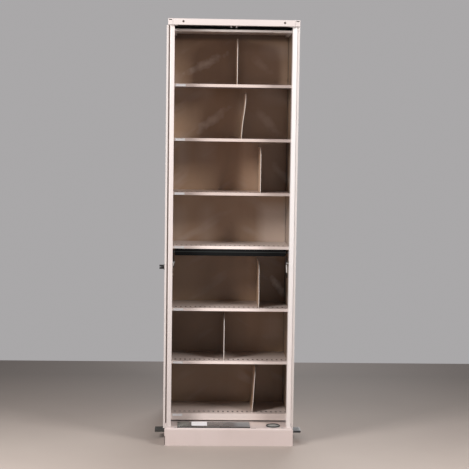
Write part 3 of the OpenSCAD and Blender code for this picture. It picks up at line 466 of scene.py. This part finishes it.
zincLook = {
    "colour": (0.52, 0.52, 0.50), "tint": (0.40, 0.40, 0.385), "dirt": (0.16, 0.14, 0.11),
    "bare": (0.66, 0.66, 0.64), "metal": 0.9, "roughLow": 0.30, "roughHigh": 0.5, "spot": 0.4, "wear": 0.5,
    "edge": 0.0005, "edgeTurn": 0.4, "brush": 0.12, "brushDepth": 0.0004,
    "clouds": {"scale": 60.0, "detail": 4.0, "band": (0.35, 0.68)},
    "spots": {"scale": 220.0, "detail": 3.0, "band": (0.6, 0.75)},
    "brushing": {"scale": 700.0, "detail": 3.0, "stretch": (1.0, 1.0, 0.2)},
}
chromeLook = dict(zincLook, colour=(0.76, 0.76, 0.77), tint=(0.70, 0.70, 0.72), spot=0.15, roughLow=0.08,
                  roughHigh=0.18, brush=0.03, metal=1.0)
springLook = dict(zincLook, colour=(0.30, 0.30, 0.31), tint=(0.22, 0.22, 0.23), bare=(0.42, 0.42, 0.43),
                  roughLow=0.28, roughHigh=0.42)
platedSteel("zincPlate", zincLook)
platedSteel("chromeSteel", chromeLook)
platedSteel("springSteel", springLook)


def mouldedPlastic(name, look):
    # a faint haze in the colour, paler edges and a fine moulded grain
    tree, shader, spot = startMaterial(name, look)
    tone = mixColours(tree, bandOf(tree, spot, look["haze"]), look["colour"], look["tint"])
    bevel, edge = edgeMask(tree, look)
    worn = mathOf(tree, "MULTIPLY", edge, look["wear"])
    tree.links.new(mixColours(tree, worn, tone, look["bare"]), shader.inputs["Base Color"])
    pores = noiseOf(tree, spot, look["pores"])
    roughen(tree, shader, pores, look)
    bumpOf(tree, shader, bevel, (pores, look["pore"], look["poreDepth"]))


knobLook = {
    "colour": (0.014, 0.014, 0.015), "tint": (0.022, 0.021, 0.021), "bare": (0.09, 0.09, 0.09),
    "roughLow": 0.35, "roughHigh": 0.5, "wear": 0.6, "edge": 0.0012, "edgeTurn": 0.4, "pore": 0.2,
    "poreDepth": 0.0002,
    "haze": {"scale": 90.0, "detail": 3.0, "band": (0.3, 0.7)},
    "pores": {"scale": 1600.0, "detail": 2.0},
}
holderLook = dict(knobLook, colour=(0.76, 0.76, 0.74), tint=(0.68, 0.68, 0.67), bare=(0.82, 0.82, 0.80),
                  edge=0.0004, wear=0.5, roughLow=0.18, roughHigh=0.3, pore=0.05)
mouldedPlastic("knobPlastic", knobLook)
mouldedPlastic("holderPlastic", holderLook)


def cardPaper(name, look):
    # blank card: fibres, faint yellowing and a soft bump
    tree, shader, spot = startMaterial(name, look)
    fibre = noiseOf(tree, spot, look["fibres"])
    tone = mixColours(tree, rangeOf(tree, fibre, *look["fibres"]["band"]), look["colour"], look["tint"])
    old = mixColours(tree, bandOf(tree, spot, look["ageing"], look["aged"]), tone, look["yellow"])
    tree.links.new(old, shader.inputs["Base Color"])
    roughen(tree, shader, fibre, look)
    bumpOf(tree, shader, None, (fibre, look["fibre"], look["fibreDepth"]))


cardLook = {
    "colour": (0.84, 0.81, 0.82), "tint": (0.77, 0.74, 0.76), "yellow": (0.74, 0.69, 0.60), "aged": 0.35,
    "roughLow": 0.55, "roughHigh": 0.8, "fibre": 0.2, "fibreDepth": 0.0002,
    "fibres": {"scale": 500.0, "detail": 5.0, "stretch": (1.0, 1.0, 3.0), "band": (0.35, 0.65)},
    "ageing": {"scale": 40.0, "detail": 2.0, "band": (0.5, 0.7)},
}
cardPaper("cardWhite", cardLook)
print("materials made")


# which finish each CAD node gets; pieces further down stand for file_dividers and shelf_labels
finishes = {
    "beigePaint": ["base_deck"],
    "plugEnamel": ["deck_plug"],
    "lidEnamel": ["top_panel"],
    "panEnamel": ["rotor_top_pan"],
    "baseEnamel": ["base_end_near", "base_end_far", "base_side_left", "base_side_right"],
    "upperEnamel": ["near_shelf_1", "near_shelf_2", "near_shelf_3"],
    "shelfEnamel": ["near_shelf_4", "near_shelf_5", "near_shelf_6", "far_shelves", "rotor_bottom_pan"],
    "postEnamel": ["post_near_left", "post_near_right", "post_far_left", "post_far_right"],
    "framePaint": ["top_rail_near", "top_rail_far", "top_rail_left", "top_rail_right", "top_guide_bracket",
                   "closing_panel_left", "closing_panel_right", "file_dividers"],
    "innerPaint": ["back_panel_near", "back_panel_far", "side_wall_left", "side_wall_right"],
    "blackPaint": ["lock_channel"],
    "latchSteel": ["left_latch", "right_latch"],
    "darkSteel": ["cross_members", "top_channel", "plunger_guide", "rotor_base_frame", "rotor_uprights",
                  "treadle_shaft", "release_lever", "pedal_right"],
    "pedalCoat": ["pedal_left"],
    "coverSteel": ["mechanism_cover"],
    "zincPlate": ["leveling_feet", "king_pin", "lower_race", "latch_strikes", "ball_cage", "upper_race",
                  "index_strikes", "top_pivot_pin", "lock_spindle", "lock_rod", "release_plunger"],
    "chromeSteel": ["bearing_balls"],
    "springSteel": ["plunger_spring"],
    "knobPlastic": ["lock_knob"],
    "holderPlastic": ["shelf_labels"],
}


def dressNodes(finishes):
    for finish, names in finishes.items():
        for name in names:
            mesh = nodes[name].data
            if not mesh.materials:
                mesh.materials.append(None)
            for i in range(len(mesh.materials)):
                mesh.materials[i] = bpy.data.materials[finish]


dressNodes(finishes)
print("CAD nodes dressed")


# small helpers for pieces
def addPiece(name, mesh, body):
    piece = bpy.data.objects.new(name, mesh)
    stage.collection.objects.link(piece)
    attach(piece, body)
    return piece


def finishMesh(name, bm, finish, body, smooth=False):
    bmesh.ops.recalc_face_normals(bm, faces=bm.faces)
    mesh = bpy.data.meshes.new(name)
    bm.to_mesh(mesh)
    bm.free()
    mesh.materials.append(bpy.data.materials[finish])
    if smooth:
        mesh.shade_smooth()
    addPiece(name, mesh, body)


def addBlock(bm, low, high):
    # a closed box between two corners, in metres
    for v in bmesh.ops.create_cube(bm, size=1.0)["verts"]:
        v.co = Vector([low[i] + (v.co[i] + 0.5) * (high[i] - low[i]) for i in range(3)])


def startTree(name, sizes):
    # a tree with a named input for each size, and geometry going in and coming out
    tree = bpy.data.node_groups.new(name, "GeometryNodeTree")
    tree.interface.new_socket("Geometry", in_out="INPUT", socket_type="NodeSocketGeometry")
    for label, value in sizes.items():
        kind = "NodeSocketInt" if isinstance(value, int) else "NodeSocketFloat"
        tree.interface.new_socket(label, in_out="INPUT", socket_type=kind).default_value = value
    tree.interface.new_socket("Geometry", in_out="OUTPUT", socket_type="NodeSocketGeometry")
    given = tree.nodes.new("NodeGroupInput")
    return tree, given.outputs


def endTree(tree, source, finish):
    real = linked(tree, "GeometryNodeRealizeInstances", {0: source})
    dressed = addNode(tree, "GeometryNodeSetMaterial", Material=bpy.data.materials[finish])
    tree.links.new(real, dressed.inputs["Geometry"])
    tree.links.new(dressed.outputs[0], tree.nodes.new("NodeGroupOutput").inputs[0])


def onPoints(tree, given, thing, **turn):
    # sets the thing on each point that the tree is given
    inputs = {"Points": given["Geometry"], "Instance": thing, **turn}
    return linked(tree, "GeometryNodeInstanceOnPoints", inputs)


def growMesh(name, tree, points, sizes, body, marks=None):
    # runs the tree on a cloud of points and keeps the result as a plain mesh
    seed = bpy.data.meshes.new(name + "Seed")
    seed.from_pydata(points, [], [])
    for label, numbers in (marks or {}).items():
        seed.attributes.new(label, "FLOAT", "POINT").data.foreach_set("value", numbers)
    holder = bpy.data.objects.new(name + "Seed", seed)
    stage.collection.objects.link(holder)
    mod = holder.modifiers.new("grow", "NODES")
    mod.node_group = tree
    for item in tree.interface.items_tree:
        if item.in_out == "INPUT" and item.name in sizes:
            mod[item.identifier] = sizes[item.name]
    mesh = bpy.data.meshes.new_from_object(holder.evaluated_get(bpy.context.evaluated_depsgraph_get()))
    bpy.data.objects.remove(holder)
    mesh.name = name
    for label in [a.name for a in mesh.attributes if a.name in ("rim", "rise", "lean", "sway")]:
        mesh.attributes.remove(mesh.attributes[label])
    return addPiece(name, mesh, body)


def markPoints(tree, source, label, value):
    return linked(tree, "GeometryNodeStoreNamedAttribute", {"Geometry": source, "Value": value},
                  {"data_type": "FLOAT", "domain": "POINT"}, Name=label)


def readMark(tree, label):
    mark = addNode(tree, "GeometryNodeInputNamedAttribute", {"data_type": "FLOAT"}, Name=label)
    return mark.outputs["Attribute"]


def shadeSmooth(tree, source, smooth):
    return linked(tree, "GeometryNodeSetShadeSmooth", {0: source}, Shade_Smooth=smooth)


def moveBy(tree, source, offset):
    return linked(tree, "GeometryNodeTransform", {"Geometry": source, "Translation": offset})


# a divider is one sheet with a round front corner, a hooked foot and a rolled hem along its front and top
dividers = {
    "sizes": {"Depth": 0.262, "Height": 0.236, "Corner radius": 0.055, "Back": -0.0155, "Thickness": 0.0012,
              "Hem radius": 0.0016, "Foot place": -0.261, "Foot length": 0.018, "Foot drop": 0.005,
              "Foot overlap": 0.05, "Weld": 0.00001, "Rest": 0.0001, "Columns": 16, "Rows": 26,
              "Hem sides": 10},
    # each divider's tier from the top, place across it, lean in degrees and sideways sway in metres
    "places": [{"tier": 0, "x": 0.025, "lean": 0.0, "sway": 0.0},
               {"tier": 1, "x": 0.050, "lean": 5.3, "sway": -0.0017},
               {"tier": 2, "x": 0.1515, "lean": 0.0, "sway": 0.0},
               {"tier": 4, "x": 0.1515, "lean": 0.0, "sway": 0.0006},
               {"tier": 5, "x": -0.025, "lean": 0.0, "sway": 0.0},
               {"tier": 6, "x": 0.125, "lean": 4.0, "sway": 0.001}],
}

# hems: edges that hands touch, duller on the upper tiers, with tops that fade in the shade of the next shelf
hemLook = dict(frameShadedLook, colour=(0.760, 0.690, 0.645), tint=(0.720, 0.640, 0.590))
hemShade = {"colour": (0.10, 0.075, 0.055), "strength": 0.85, "from": 0.205, "to": 0.268, "soft": 0.06}
hemZones = {"upper tiers": ((0.27, 0.215, 0.175), 0.5, {"up": (1.52, None, 0.10)})}
for place in dividers["places"]:
    shelfTop = shelfTops[place["tier"]]
    limits = {"up": (shelfTop + hemShade["from"], shelfTop + hemShade["to"], hemShade["soft"])}
    hemZones[f"top in tier {place['tier']}"] = (hemShade["colour"], hemShade["strength"], limits)
sheetPaint("hemEnamel", hemLook, hemZones)


tiny = 0.01    # a share of the grid's side that is less than one cell


def dividerOutline(tree, given):
    # a grid that is bent to the outline inside the hem, with its rim and its height marked
    depth, height, corner = [mathOf(tree, "SUBTRACT", given[label], given["Hem radius"])
                             for label in ("Depth", "Height", "Corner radius")]
    grid = linked(tree, "GeometryNodeMeshGrid", {"Vertices X": given["Columns"], "Vertices Y": given["Rows"]})
    spot = addNode(tree, "ShaderNodeSeparateXYZ")
    tree.links.new(addNode(tree, "GeometryNodeInputPosition").outputs[0], spot.inputs[0])
    # the place in the grid runs from 0 to 1 each way, and columns crowd towards the front, where the corner
    # turns
    across = mathOf(tree, "ADD", spot.outputs[0], 0.5)
    up = mathOf(tree, "ADD", spot.outputs[1], 0.5)
    along = mathOf(tree, "MULTIPLY", depth, mathOf(tree, "MULTIPLY", across, across))
    inside = mathOf(tree, "MAXIMUM", mathOf(tree, "SUBTRACT", corner, along), 0.0)
    squares = [mathOf(tree, "MULTIPLY", value, value) for value in (corner, inside)]
    arc = mathOf(tree, "SQRT", mathOf(tree, "SUBTRACT", *squares))
    top = mathOf(tree, "ADD", mathOf(tree, "SUBTRACT", height, corner), arc)
    level = mathOf(tree, "MULTIPLY", up, top)
    front = mathOf(tree, "SUBTRACT", given["Back"], depth)
    onRim = mathOf(tree, "MAXIMUM", mathOf(tree, "LESS_THAN", across, tiny),
                   mathOf(tree, "GREATER_THAN", up, 1.0 - tiny))
    marked = markPoints(tree, grid, "rim", onRim)
    marked = markPoints(tree, marked, "rise", mathOf(tree, "DIVIDE", level, height))
    place = vectorOf(tree, 0.0, mathOf(tree, "ADD", front, along), level)
    return linked(tree, "GeometryNodeSetPosition", {"Geometry": marked, "Position": place})


def rolledHem(tree, given, outline):
    # a round bead along the outline's front and top, on edges with both ends on the rim
    onRim = mathOf(tree, "GREATER_THAN", readMark(tree, "rim"), 0.9)
    line = linked(tree, "GeometryNodeMeshToCurve", {"Mesh": outline, "Selection": onRim})
    ring = linked(tree, "GeometryNodeCurvePrimitiveCircle",
                  {"Resolution": given["Hem sides"], "Radius": given["Hem radius"]})
    roll = linked(tree, "GeometryNodeCurveToMesh", {"Curve": line, "Profile Curve": ring}, Fill_Caps=True)
    return shadeSmooth(tree, roll, True)


def sheetAndFoot(tree, given, outline):
    # two skins with a rim between them make the sheet a closed solid, and its foot hooks into the shelf
    thick, drop = given["Thickness"], given["Foot drop"]
    skin = moveBy(tree, outline, vectorOf(tree, mathOf(tree, "MULTIPLY", thick, -0.5), 0.0, 0.0))
    wall = linked(tree, "GeometryNodeExtrudeMesh", {"Mesh": skin, "Offset": vectorOf(tree, thick, 0.0, 0.0)},
                  {"mode": "FACES"}, Individual=False, Offset_Scale=1.0)
    parts = addNode(tree, "GeometryNodeJoinGeometry")
    for skinned in (wall, linked(tree, "GeometryNodeFlipFaces", {"Mesh": skin})):
        tree.links.new(skinned, parts.inputs[0])
    closed = linked(tree, "GeometryNodeMergeByDistance",
                    {"Geometry": parts.outputs[0], "Distance": given["Weld"]})
    foot = linked(tree, "GeometryNodeMeshCube", {"Size": vectorOf(tree, thick, given["Foot length"], drop)})
    depth = mathOf(tree, "MULTIPLY", drop, mathOf(tree, "SUBTRACT", given["Foot overlap"], 0.5))
    foot = moveBy(tree, foot, vectorOf(tree, 0.0, given["Foot place"], depth))
    body = addNode(tree, "GeometryNodeJoinGeometry")
    for part in (closed, foot):
        tree.links.new(shadeSmooth(tree, part, False), body.inputs[0])
    return body.outputs[0]


def dividerTree(name, sizes, finish, makePart):
    # the sheets and their hems share one outline, and each is a piece of its own
    tree, given = startTree(name, sizes)
    part = makePart(tree, given, dividerOutline(tree, given))
    part = moveBy(tree, part, vectorOf(tree, 0.0, 0.0, given["Rest"]))
    sets = onPoints(tree, given, part, Rotation=vectorOf(tree, 0.0, readMark(tree, "lean"), 0.0))
    real = linked(tree, "GeometryNodeRealizeInstances", {0: sets})
    # a used sheet bows one way low down and the other way high up
    wave = mathOf(tree, "SINE", mathOf(tree, "MULTIPLY", readMark(tree, "rise"), 2 * math.pi))
    bow = vectorOf(tree, mathOf(tree, "MULTIPLY", wave, readMark(tree, "sway")), 0.0, 0.0)
    bent = linked(tree, "GeometryNodeSetPosition", {"Geometry": real, "Offset": bow})
    endTree(tree, bent, finish)
    return tree


def makeDividers(dividers):
    places, sizes = dividers["places"], dividers["sizes"]
    points = [(place["x"], 0.0, shelfTops[place["tier"]]) for place in places]
    marks = {"lean": [math.radians(place["lean"]) for place in places],
             "sway": [place["sway"] for place in places]}
    # the sheets take the inner enamel with its painted shade
    for name, finish, slot, makePart in (("dividerSheets", "innerPaint", "inner_paint", sheetAndFoot),
                                         ("dividerHems", "hemEnamel", "beige_paint", rolledHem)):
        tree = dividerTree(name, sizes, finish, makePart)
        piece = growMesh(name, tree, points, sizes, "rotor", marks)
        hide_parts("file_dividers")


makeDividers(dividers)
print("dividers made")


# screws in the corners of the base's top, and four smaller ones that hold the dark cover down
coverLow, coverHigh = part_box("mechanism_cover")
deckScrews = {
    "sizes": {"Head radius": 0.0045, "Head height": 0.0022, "Slot width": 0.0011, "Sides": 20},
    "xs": (-0.272, 0.271), "ys": (-0.4485, 0.4485), "under": deckTop,
}
coverScrews = {
    "sizes": {"Head radius": 0.0032, "Head height": 0.0014, "Slot width": 0.0008, "Sides": 20},
    "xs": (coverLow.x + 0.010, coverHigh.x - 0.008), "ys": (coverLow.y + 0.009, coverHigh.y - 0.009),
    "under": coverHigh.z,
}
cross = {"length": 1.3, "lift": 0.6}    # of each cut, as shares of the head's radius and height


def screwTree(sizes):
    # a low round head with a cross cut into it, on every point
    tree, given = startTree("screwHeads", sizes)
    radius, height = given["Head radius"], given["Head height"]
    head = linked(tree, "GeometryNodeMeshCylinder",
                  {"Vertices": given["Sides"], "Radius": radius, "Depth": height}, {"fill_type": "NGON"})
    recess = addNode(tree, "GeometryNodeMeshBoolean", {"operation": "DIFFERENCE"})
    tree.links.new(head, recess.inputs["Mesh 1"])
    length = mathOf(tree, "MULTIPLY", radius, cross["length"])
    lift = vectorOf(tree, 0.0, 0.0, mathOf(tree, "MULTIPLY", height, cross["lift"]))
    for size in ((length, given["Slot width"], height), (given["Slot width"], length, height)):
        cut = linked(tree, "GeometryNodeMeshCube", {"Size": vectorOf(tree, *size)})
        tree.links.new(moveBy(tree, cut, lift), recess.inputs["Mesh 2"])
    endTree(tree, onPoints(tree, given, recess.outputs["Mesh"]), "zincPlate")
    return tree


def makeScrews(name, screws, tree):
    # places are rounded to a micrometre, because stray last digits upset the cut faces
    z = screws["under"] + 0.5 * screws["sizes"]["Head height"]
    points = [[round(v, 6) for v in (x, y, z)] for y in screws["ys"] for x in screws["xs"]]
    growMesh(name, tree, points, screws["sizes"], "housing")


screws = screwTree(deckScrews["sizes"])
makeScrews("deckScrews", deckScrews, screws)
makeScrews("coverScrews", coverScrews, screws)
print("screws made")


# a card holder and a blank card stand near the left end of every shelf's lip, each with its middle a little
# proud of the lip and below the shelf's top
holders = {"sizes": {"Width": 0.050, "Height": 0.0102, "Thickness": 0.0008, "Rim": 0.0018},
           "x": -0.262, "proud": 0.0004, "below": 0.008}
cards = {"sizes": {"Width": 0.043, "Height": 0.0080, "Thickness": 0.0003}, "x": -0.263, "proud": 0.0005}


def holderTree(sizes):
    # a back plate with a raised rim along its top, its bottom and its closed end, on every point
    tree, given = startTree("cardHolders", sizes)
    width, height, thick, rim = [given[label] for label in ("Width", "Height", "Thickness", "Rim")]
    joined = addNode(tree, "GeometryNodeJoinGeometry")

    def share(of, part):
        return mathOf(tree, "MULTIPLY", of, part)

    def addSlab(size, place):
        slab = linked(tree, "GeometryNodeMeshCube", {"Size": vectorOf(tree, *size)})
        tree.links.new(moveBy(tree, slab, vectorOf(tree, *place)), joined.inputs[0])

    addSlab((width, share(thick, 0.5), height), (0.0, share(thick, 0.25), 0.0))    # back plate
    addSlab((width, thick, rim), (0.0, 0.0, share(height, 0.5)))                   # top rim
    addSlab((width, thick, rim), (0.0, 0.0, share(height, -0.5)))                  # bottom rim
    addSlab((rim, thick, height), (share(width, 0.5), 0.0, 0.0))                   # closed end
    endTree(tree, onPoints(tree, given, joined.outputs[0]), "holderPlastic")
    return tree


def cardTree(sizes):
    tree, given = startTree("cards", sizes)
    size = vectorOf(tree, given["Width"], given["Thickness"], given["Height"])
    card = linked(tree, "GeometryNodeMeshCube", {"Size": size})
    endTree(tree, onPoints(tree, given, card), "cardWhite")
    return tree


def growOnLips(name, settings, makeTree):
    # one on each shelf's lip, in front of it and a little below its top
    points = [(settings["x"], shelfFront - settings["proud"], top - holders["below"]) for top in shelfTops]
    sizes = settings["sizes"]
    return growMesh(name, makeTree(sizes), points, sizes, "rotor")


holderPiece = growOnLips("cardHolders", holders, holderTree)
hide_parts("shelf_labels")
growOnLips("blankCards", cards, cardTree)
print("card holders made")


# one blank label lies on the dark cover, and a thin black plate, a painted shade, stands for the dark hollow
# of a slot in the base's near edge
coverLabel = {"low": (-0.188, -0.427), "high": (-0.109, -0.338), "under": coverHigh.z + 0.00001,
              "thick": 0.0002, "corner": 0.003, "steps": 4, "finish": "cardWhite", "slot": "label_white"}
# a black plate as a painted shade for a slot's hollow
deckSlot = {"low": (0.112, -0.4565), "high": (0.138, -0.4535), "under": deckTop,
            "thick": 0.0003, "corner": 0.0012, "steps": 3, "finish": "blackPaint", "slot": "black_paint"}


def makePlate(name, plate):
    # a thin plate with rounded corners
    under, thick = plate["under"], plate["thick"]
    bm = bmesh.new()
    addBlock(bm, (*plate["low"], under), (*plate["high"], under + thick))
    upright = [e for e in bm.edges if abs(e.verts[0].co.z - e.verts[1].co.z) > 0.5 * thick]
    bmesh.ops.bevel(bm, geom=upright, offset=plate["corner"], segments=plate["steps"], affect="EDGES")
    finishMesh(name, bm, plate["finish"], "housing")


# a dark ring seals the plug in the deck
plugRing = {"x": 0.227, "y": -0.406, "z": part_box("deck_plug")[1].z + 0.0005, "radius": 0.0330,
            "thick": 0.0030, "tall": 0.0036, "steps": 48, "sides": 12}


def makePlugRing(ring):
    bm = bmesh.new()
    rows = []
    for i in range(ring["steps"]):
        turn = 2 * math.pi * i / ring["steps"]
        row = []
        for j in range(ring["sides"]):
            around = 2 * math.pi * j / ring["sides"]
            out = ring["radius"] + ring["thick"] * math.cos(around)
            up = ring["tall"] * math.sin(around)
            row.append(bm.verts.new((ring["x"] + out * math.cos(turn), ring["y"] + out * math.sin(turn),
                                     ring["z"] + up)))
        rows.append(row)
    for i, row in enumerate(rows):
        after = rows[(i + 1) % len(rows)]
        for j in range(len(row)):
            k = (j + 1) % len(row)
            bm.faces.new((row[j], after[j], after[k], row[k]))
    finishMesh("plugRing", bm, "knobPlastic", "housing", smooth=True)


# a liner narrows the knob's finger slot and fills its end; depths are from the knob's outer face
knobLiner = {"mouth": 0.0007, "floor": 0.0090, "end": 0.0153, "lap": 0.0001, "halfWidth": 0.0095,
             "halfHeight": 0.0038, "wall": 0.0017}


def makeKnobLiner(liner):
    low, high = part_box("lock_knob")
    face, y, z = low.x, 0.5 * (low.y + high.y), 0.5 * (low.z + high.z)
    tall, inner = liner["halfHeight"], liner["halfHeight"] - liner["wall"]
    bm = bmesh.new()
    for start, end, bottom, top in ((liner["floor"], liner["end"], -tall, tall),
                                    (liner["mouth"], liner["floor"] + liner["lap"], -tall, -inner),
                                    (liner["mouth"], liner["floor"] + liner["lap"], inner, tall)):
        addBlock(bm, (face + start, y - liner["halfWidth"], z + bottom),
                 (face + end, y + liner["halfWidth"], z + top))
    finishMesh("knobLiner", bm, "knobPlastic", "lock")


makePlate("coverLabel", coverLabel)
makeKnobLiner(knobLiner)
makePlugRing(plugRing)
makePlate("deckSlot", deckSlot)
print("label, liner, plug ring and slot made")


# the camera stands where the photograph's stood, turned in degrees
view = {"place": (-0.2001, -6.6830, 1.5692), "turn": -1.982, "tilt": 85.436, "roll": 0.800, "lens": 96.15,
        "sensor": 36.0, "farthest": 60.0}


def placeCamera(view):
    data = bpy.data.cameras.new("camera")
    data.lens = view["lens"]
    data.sensor_width = view["sensor"]
    data.clip_end = view["farthest"]
    camera = bpy.data.objects.new("camera", data)
    stage.collection.objects.link(camera)
    camera.matrix_world = Matrix.Translation(view["place"])
    for angle, axis in (("turn", "Z"), ("tilt", "X"), ("roll", "Z")):
        camera.matrix_world = camera.matrix_world @ Matrix.Rotation(math.radians(view[angle]), 4, axis)
    stage.camera = camera


# two soft lamps on each side of the near end, and one behind for the far side
lamps = {
    "leftHigh": {"place": (-1.96, -2.06, 2.45), "aim": (0.0, -0.35, 2.0), "size": 0.8, "power": 79.0},
    "leftLow": {"place": (-2.25, -1.80, 0.90), "aim": (0.0, -0.35, 0.85), "size": 0.8, "power": 28.0},
    "rightHigh": {"place": (1.96, -2.06, 2.60), "aim": (0.0, -0.35, 2.0), "size": 0.8, "power": 67.0},
    "rightLow": {"place": (2.25, -1.80, 0.80), "aim": (0.0, -0.35, 0.85), "size": 0.8, "power": 23.0},
    "backLamp": {"place": (0.6, 3.6, 2.4), "aim": (0.0, 0.3, 1.1), "size": 1.6, "power": 70.0},
}


def placeLamps(lamps):
    for name, lamp in lamps.items():
        data = bpy.data.lights.new(name, "AREA")
        data.shape = "SQUARE"
        data.size = lamp["size"]
        data.energy = lamp["power"]
        light = bpy.data.objects.new(name, data)
        stage.collection.objects.link(light)
        way = Vector(lamp["aim"]) - Vector(lamp["place"])
        turn = way.to_track_quat("-Z", "Y").to_matrix().to_4x4()
        light.matrix_world = Matrix.Translation(lamp["place"]) @ turn


# a pale floor with a painted shade that darkens it towards the back, a grey backdrop that the camera and
# gloss see, and a faint fill
studio = {
    "fill": (0.048, 0.047, 0.048), "backdrop": (0.40, 0.39, 0.395), "colour": (0.45, 0.38, 0.335),
    "tint": (0.41, 0.34, 0.30), "farShade": (0.170, 0.144, 0.130), "ior": 1.5, "roughness": 0.75,
    "drift": {"scale": 1.2, "detail": 4.0, "band": (0.3, 0.7)}, "darkens": (-0.9, 1.4),
    "halfWidth": 4.0, "nearEdge": -4.0, "farEdge": 1.88,
}


def makeWorld(studio):
    world = bpy.data.worlds.new("studio")
    world.use_nodes = True
    tree = world.node_tree
    tree.nodes.clear()
    rays = addNode(tree, "ShaderNodeLightPath").outputs
    seen = clamp(mathOf(tree, "ADD", rays["Is Camera Ray"], rays["Is Glossy Ray"]))
    seen = clamp(mathOf(tree, "ADD", seen, rays["Is Transmission Ray"]))
    fill, shown = [addNode(tree, "ShaderNodeBackground", Color=(*studio[key], 1.0)).outputs[0]
                   for key in ("fill", "backdrop")]
    mix = linked(tree, "ShaderNodeMixShader", {0: seen, 1: fill, 2: shown})
    tree.links.new(mix, addNode(tree, "ShaderNodeOutputWorld").inputs["Surface"])
    stage.world = world


def makeFloor(studio):
    tree, shader, spot = startMaterial("studioFloor", studio)
    shader.inputs["Roughness"].default_value = studio["roughness"]
    tone = mixColours(tree, bandOf(tree, spot, studio["drift"]), studio["colour"], studio["tint"])
    tree.links.new(tone, shader.inputs["Base Color"])
    # the floor's painted shade towards the back
    layColour(tree, shader, rangeOf(tree, axesOf(tree, spot)[1], *studio["darkens"]), studio["farShade"])
    mesh = bpy.data.meshes.new("studioFloor")
    wide, near, far = studio["halfWidth"], studio["nearEdge"], studio["farEdge"]
    mesh.from_pydata([(-wide, near, 0), (wide, near, 0), (wide, far, 0), (-wide, far, 0)], [], [(0, 1, 2, 3)])
    mesh.materials.append(bpy.data.materials["studioFloor"])
    floor = bpy.data.objects.new("studioFloor", mesh)
    stage.collection.objects.link(floor)


placeCamera(view)
placeLamps(lamps)
makeWorld(studio)
makeFloor(studio)
stage.view_settings.view_transform = "Standard"
print("camera, lamps and floor placed")
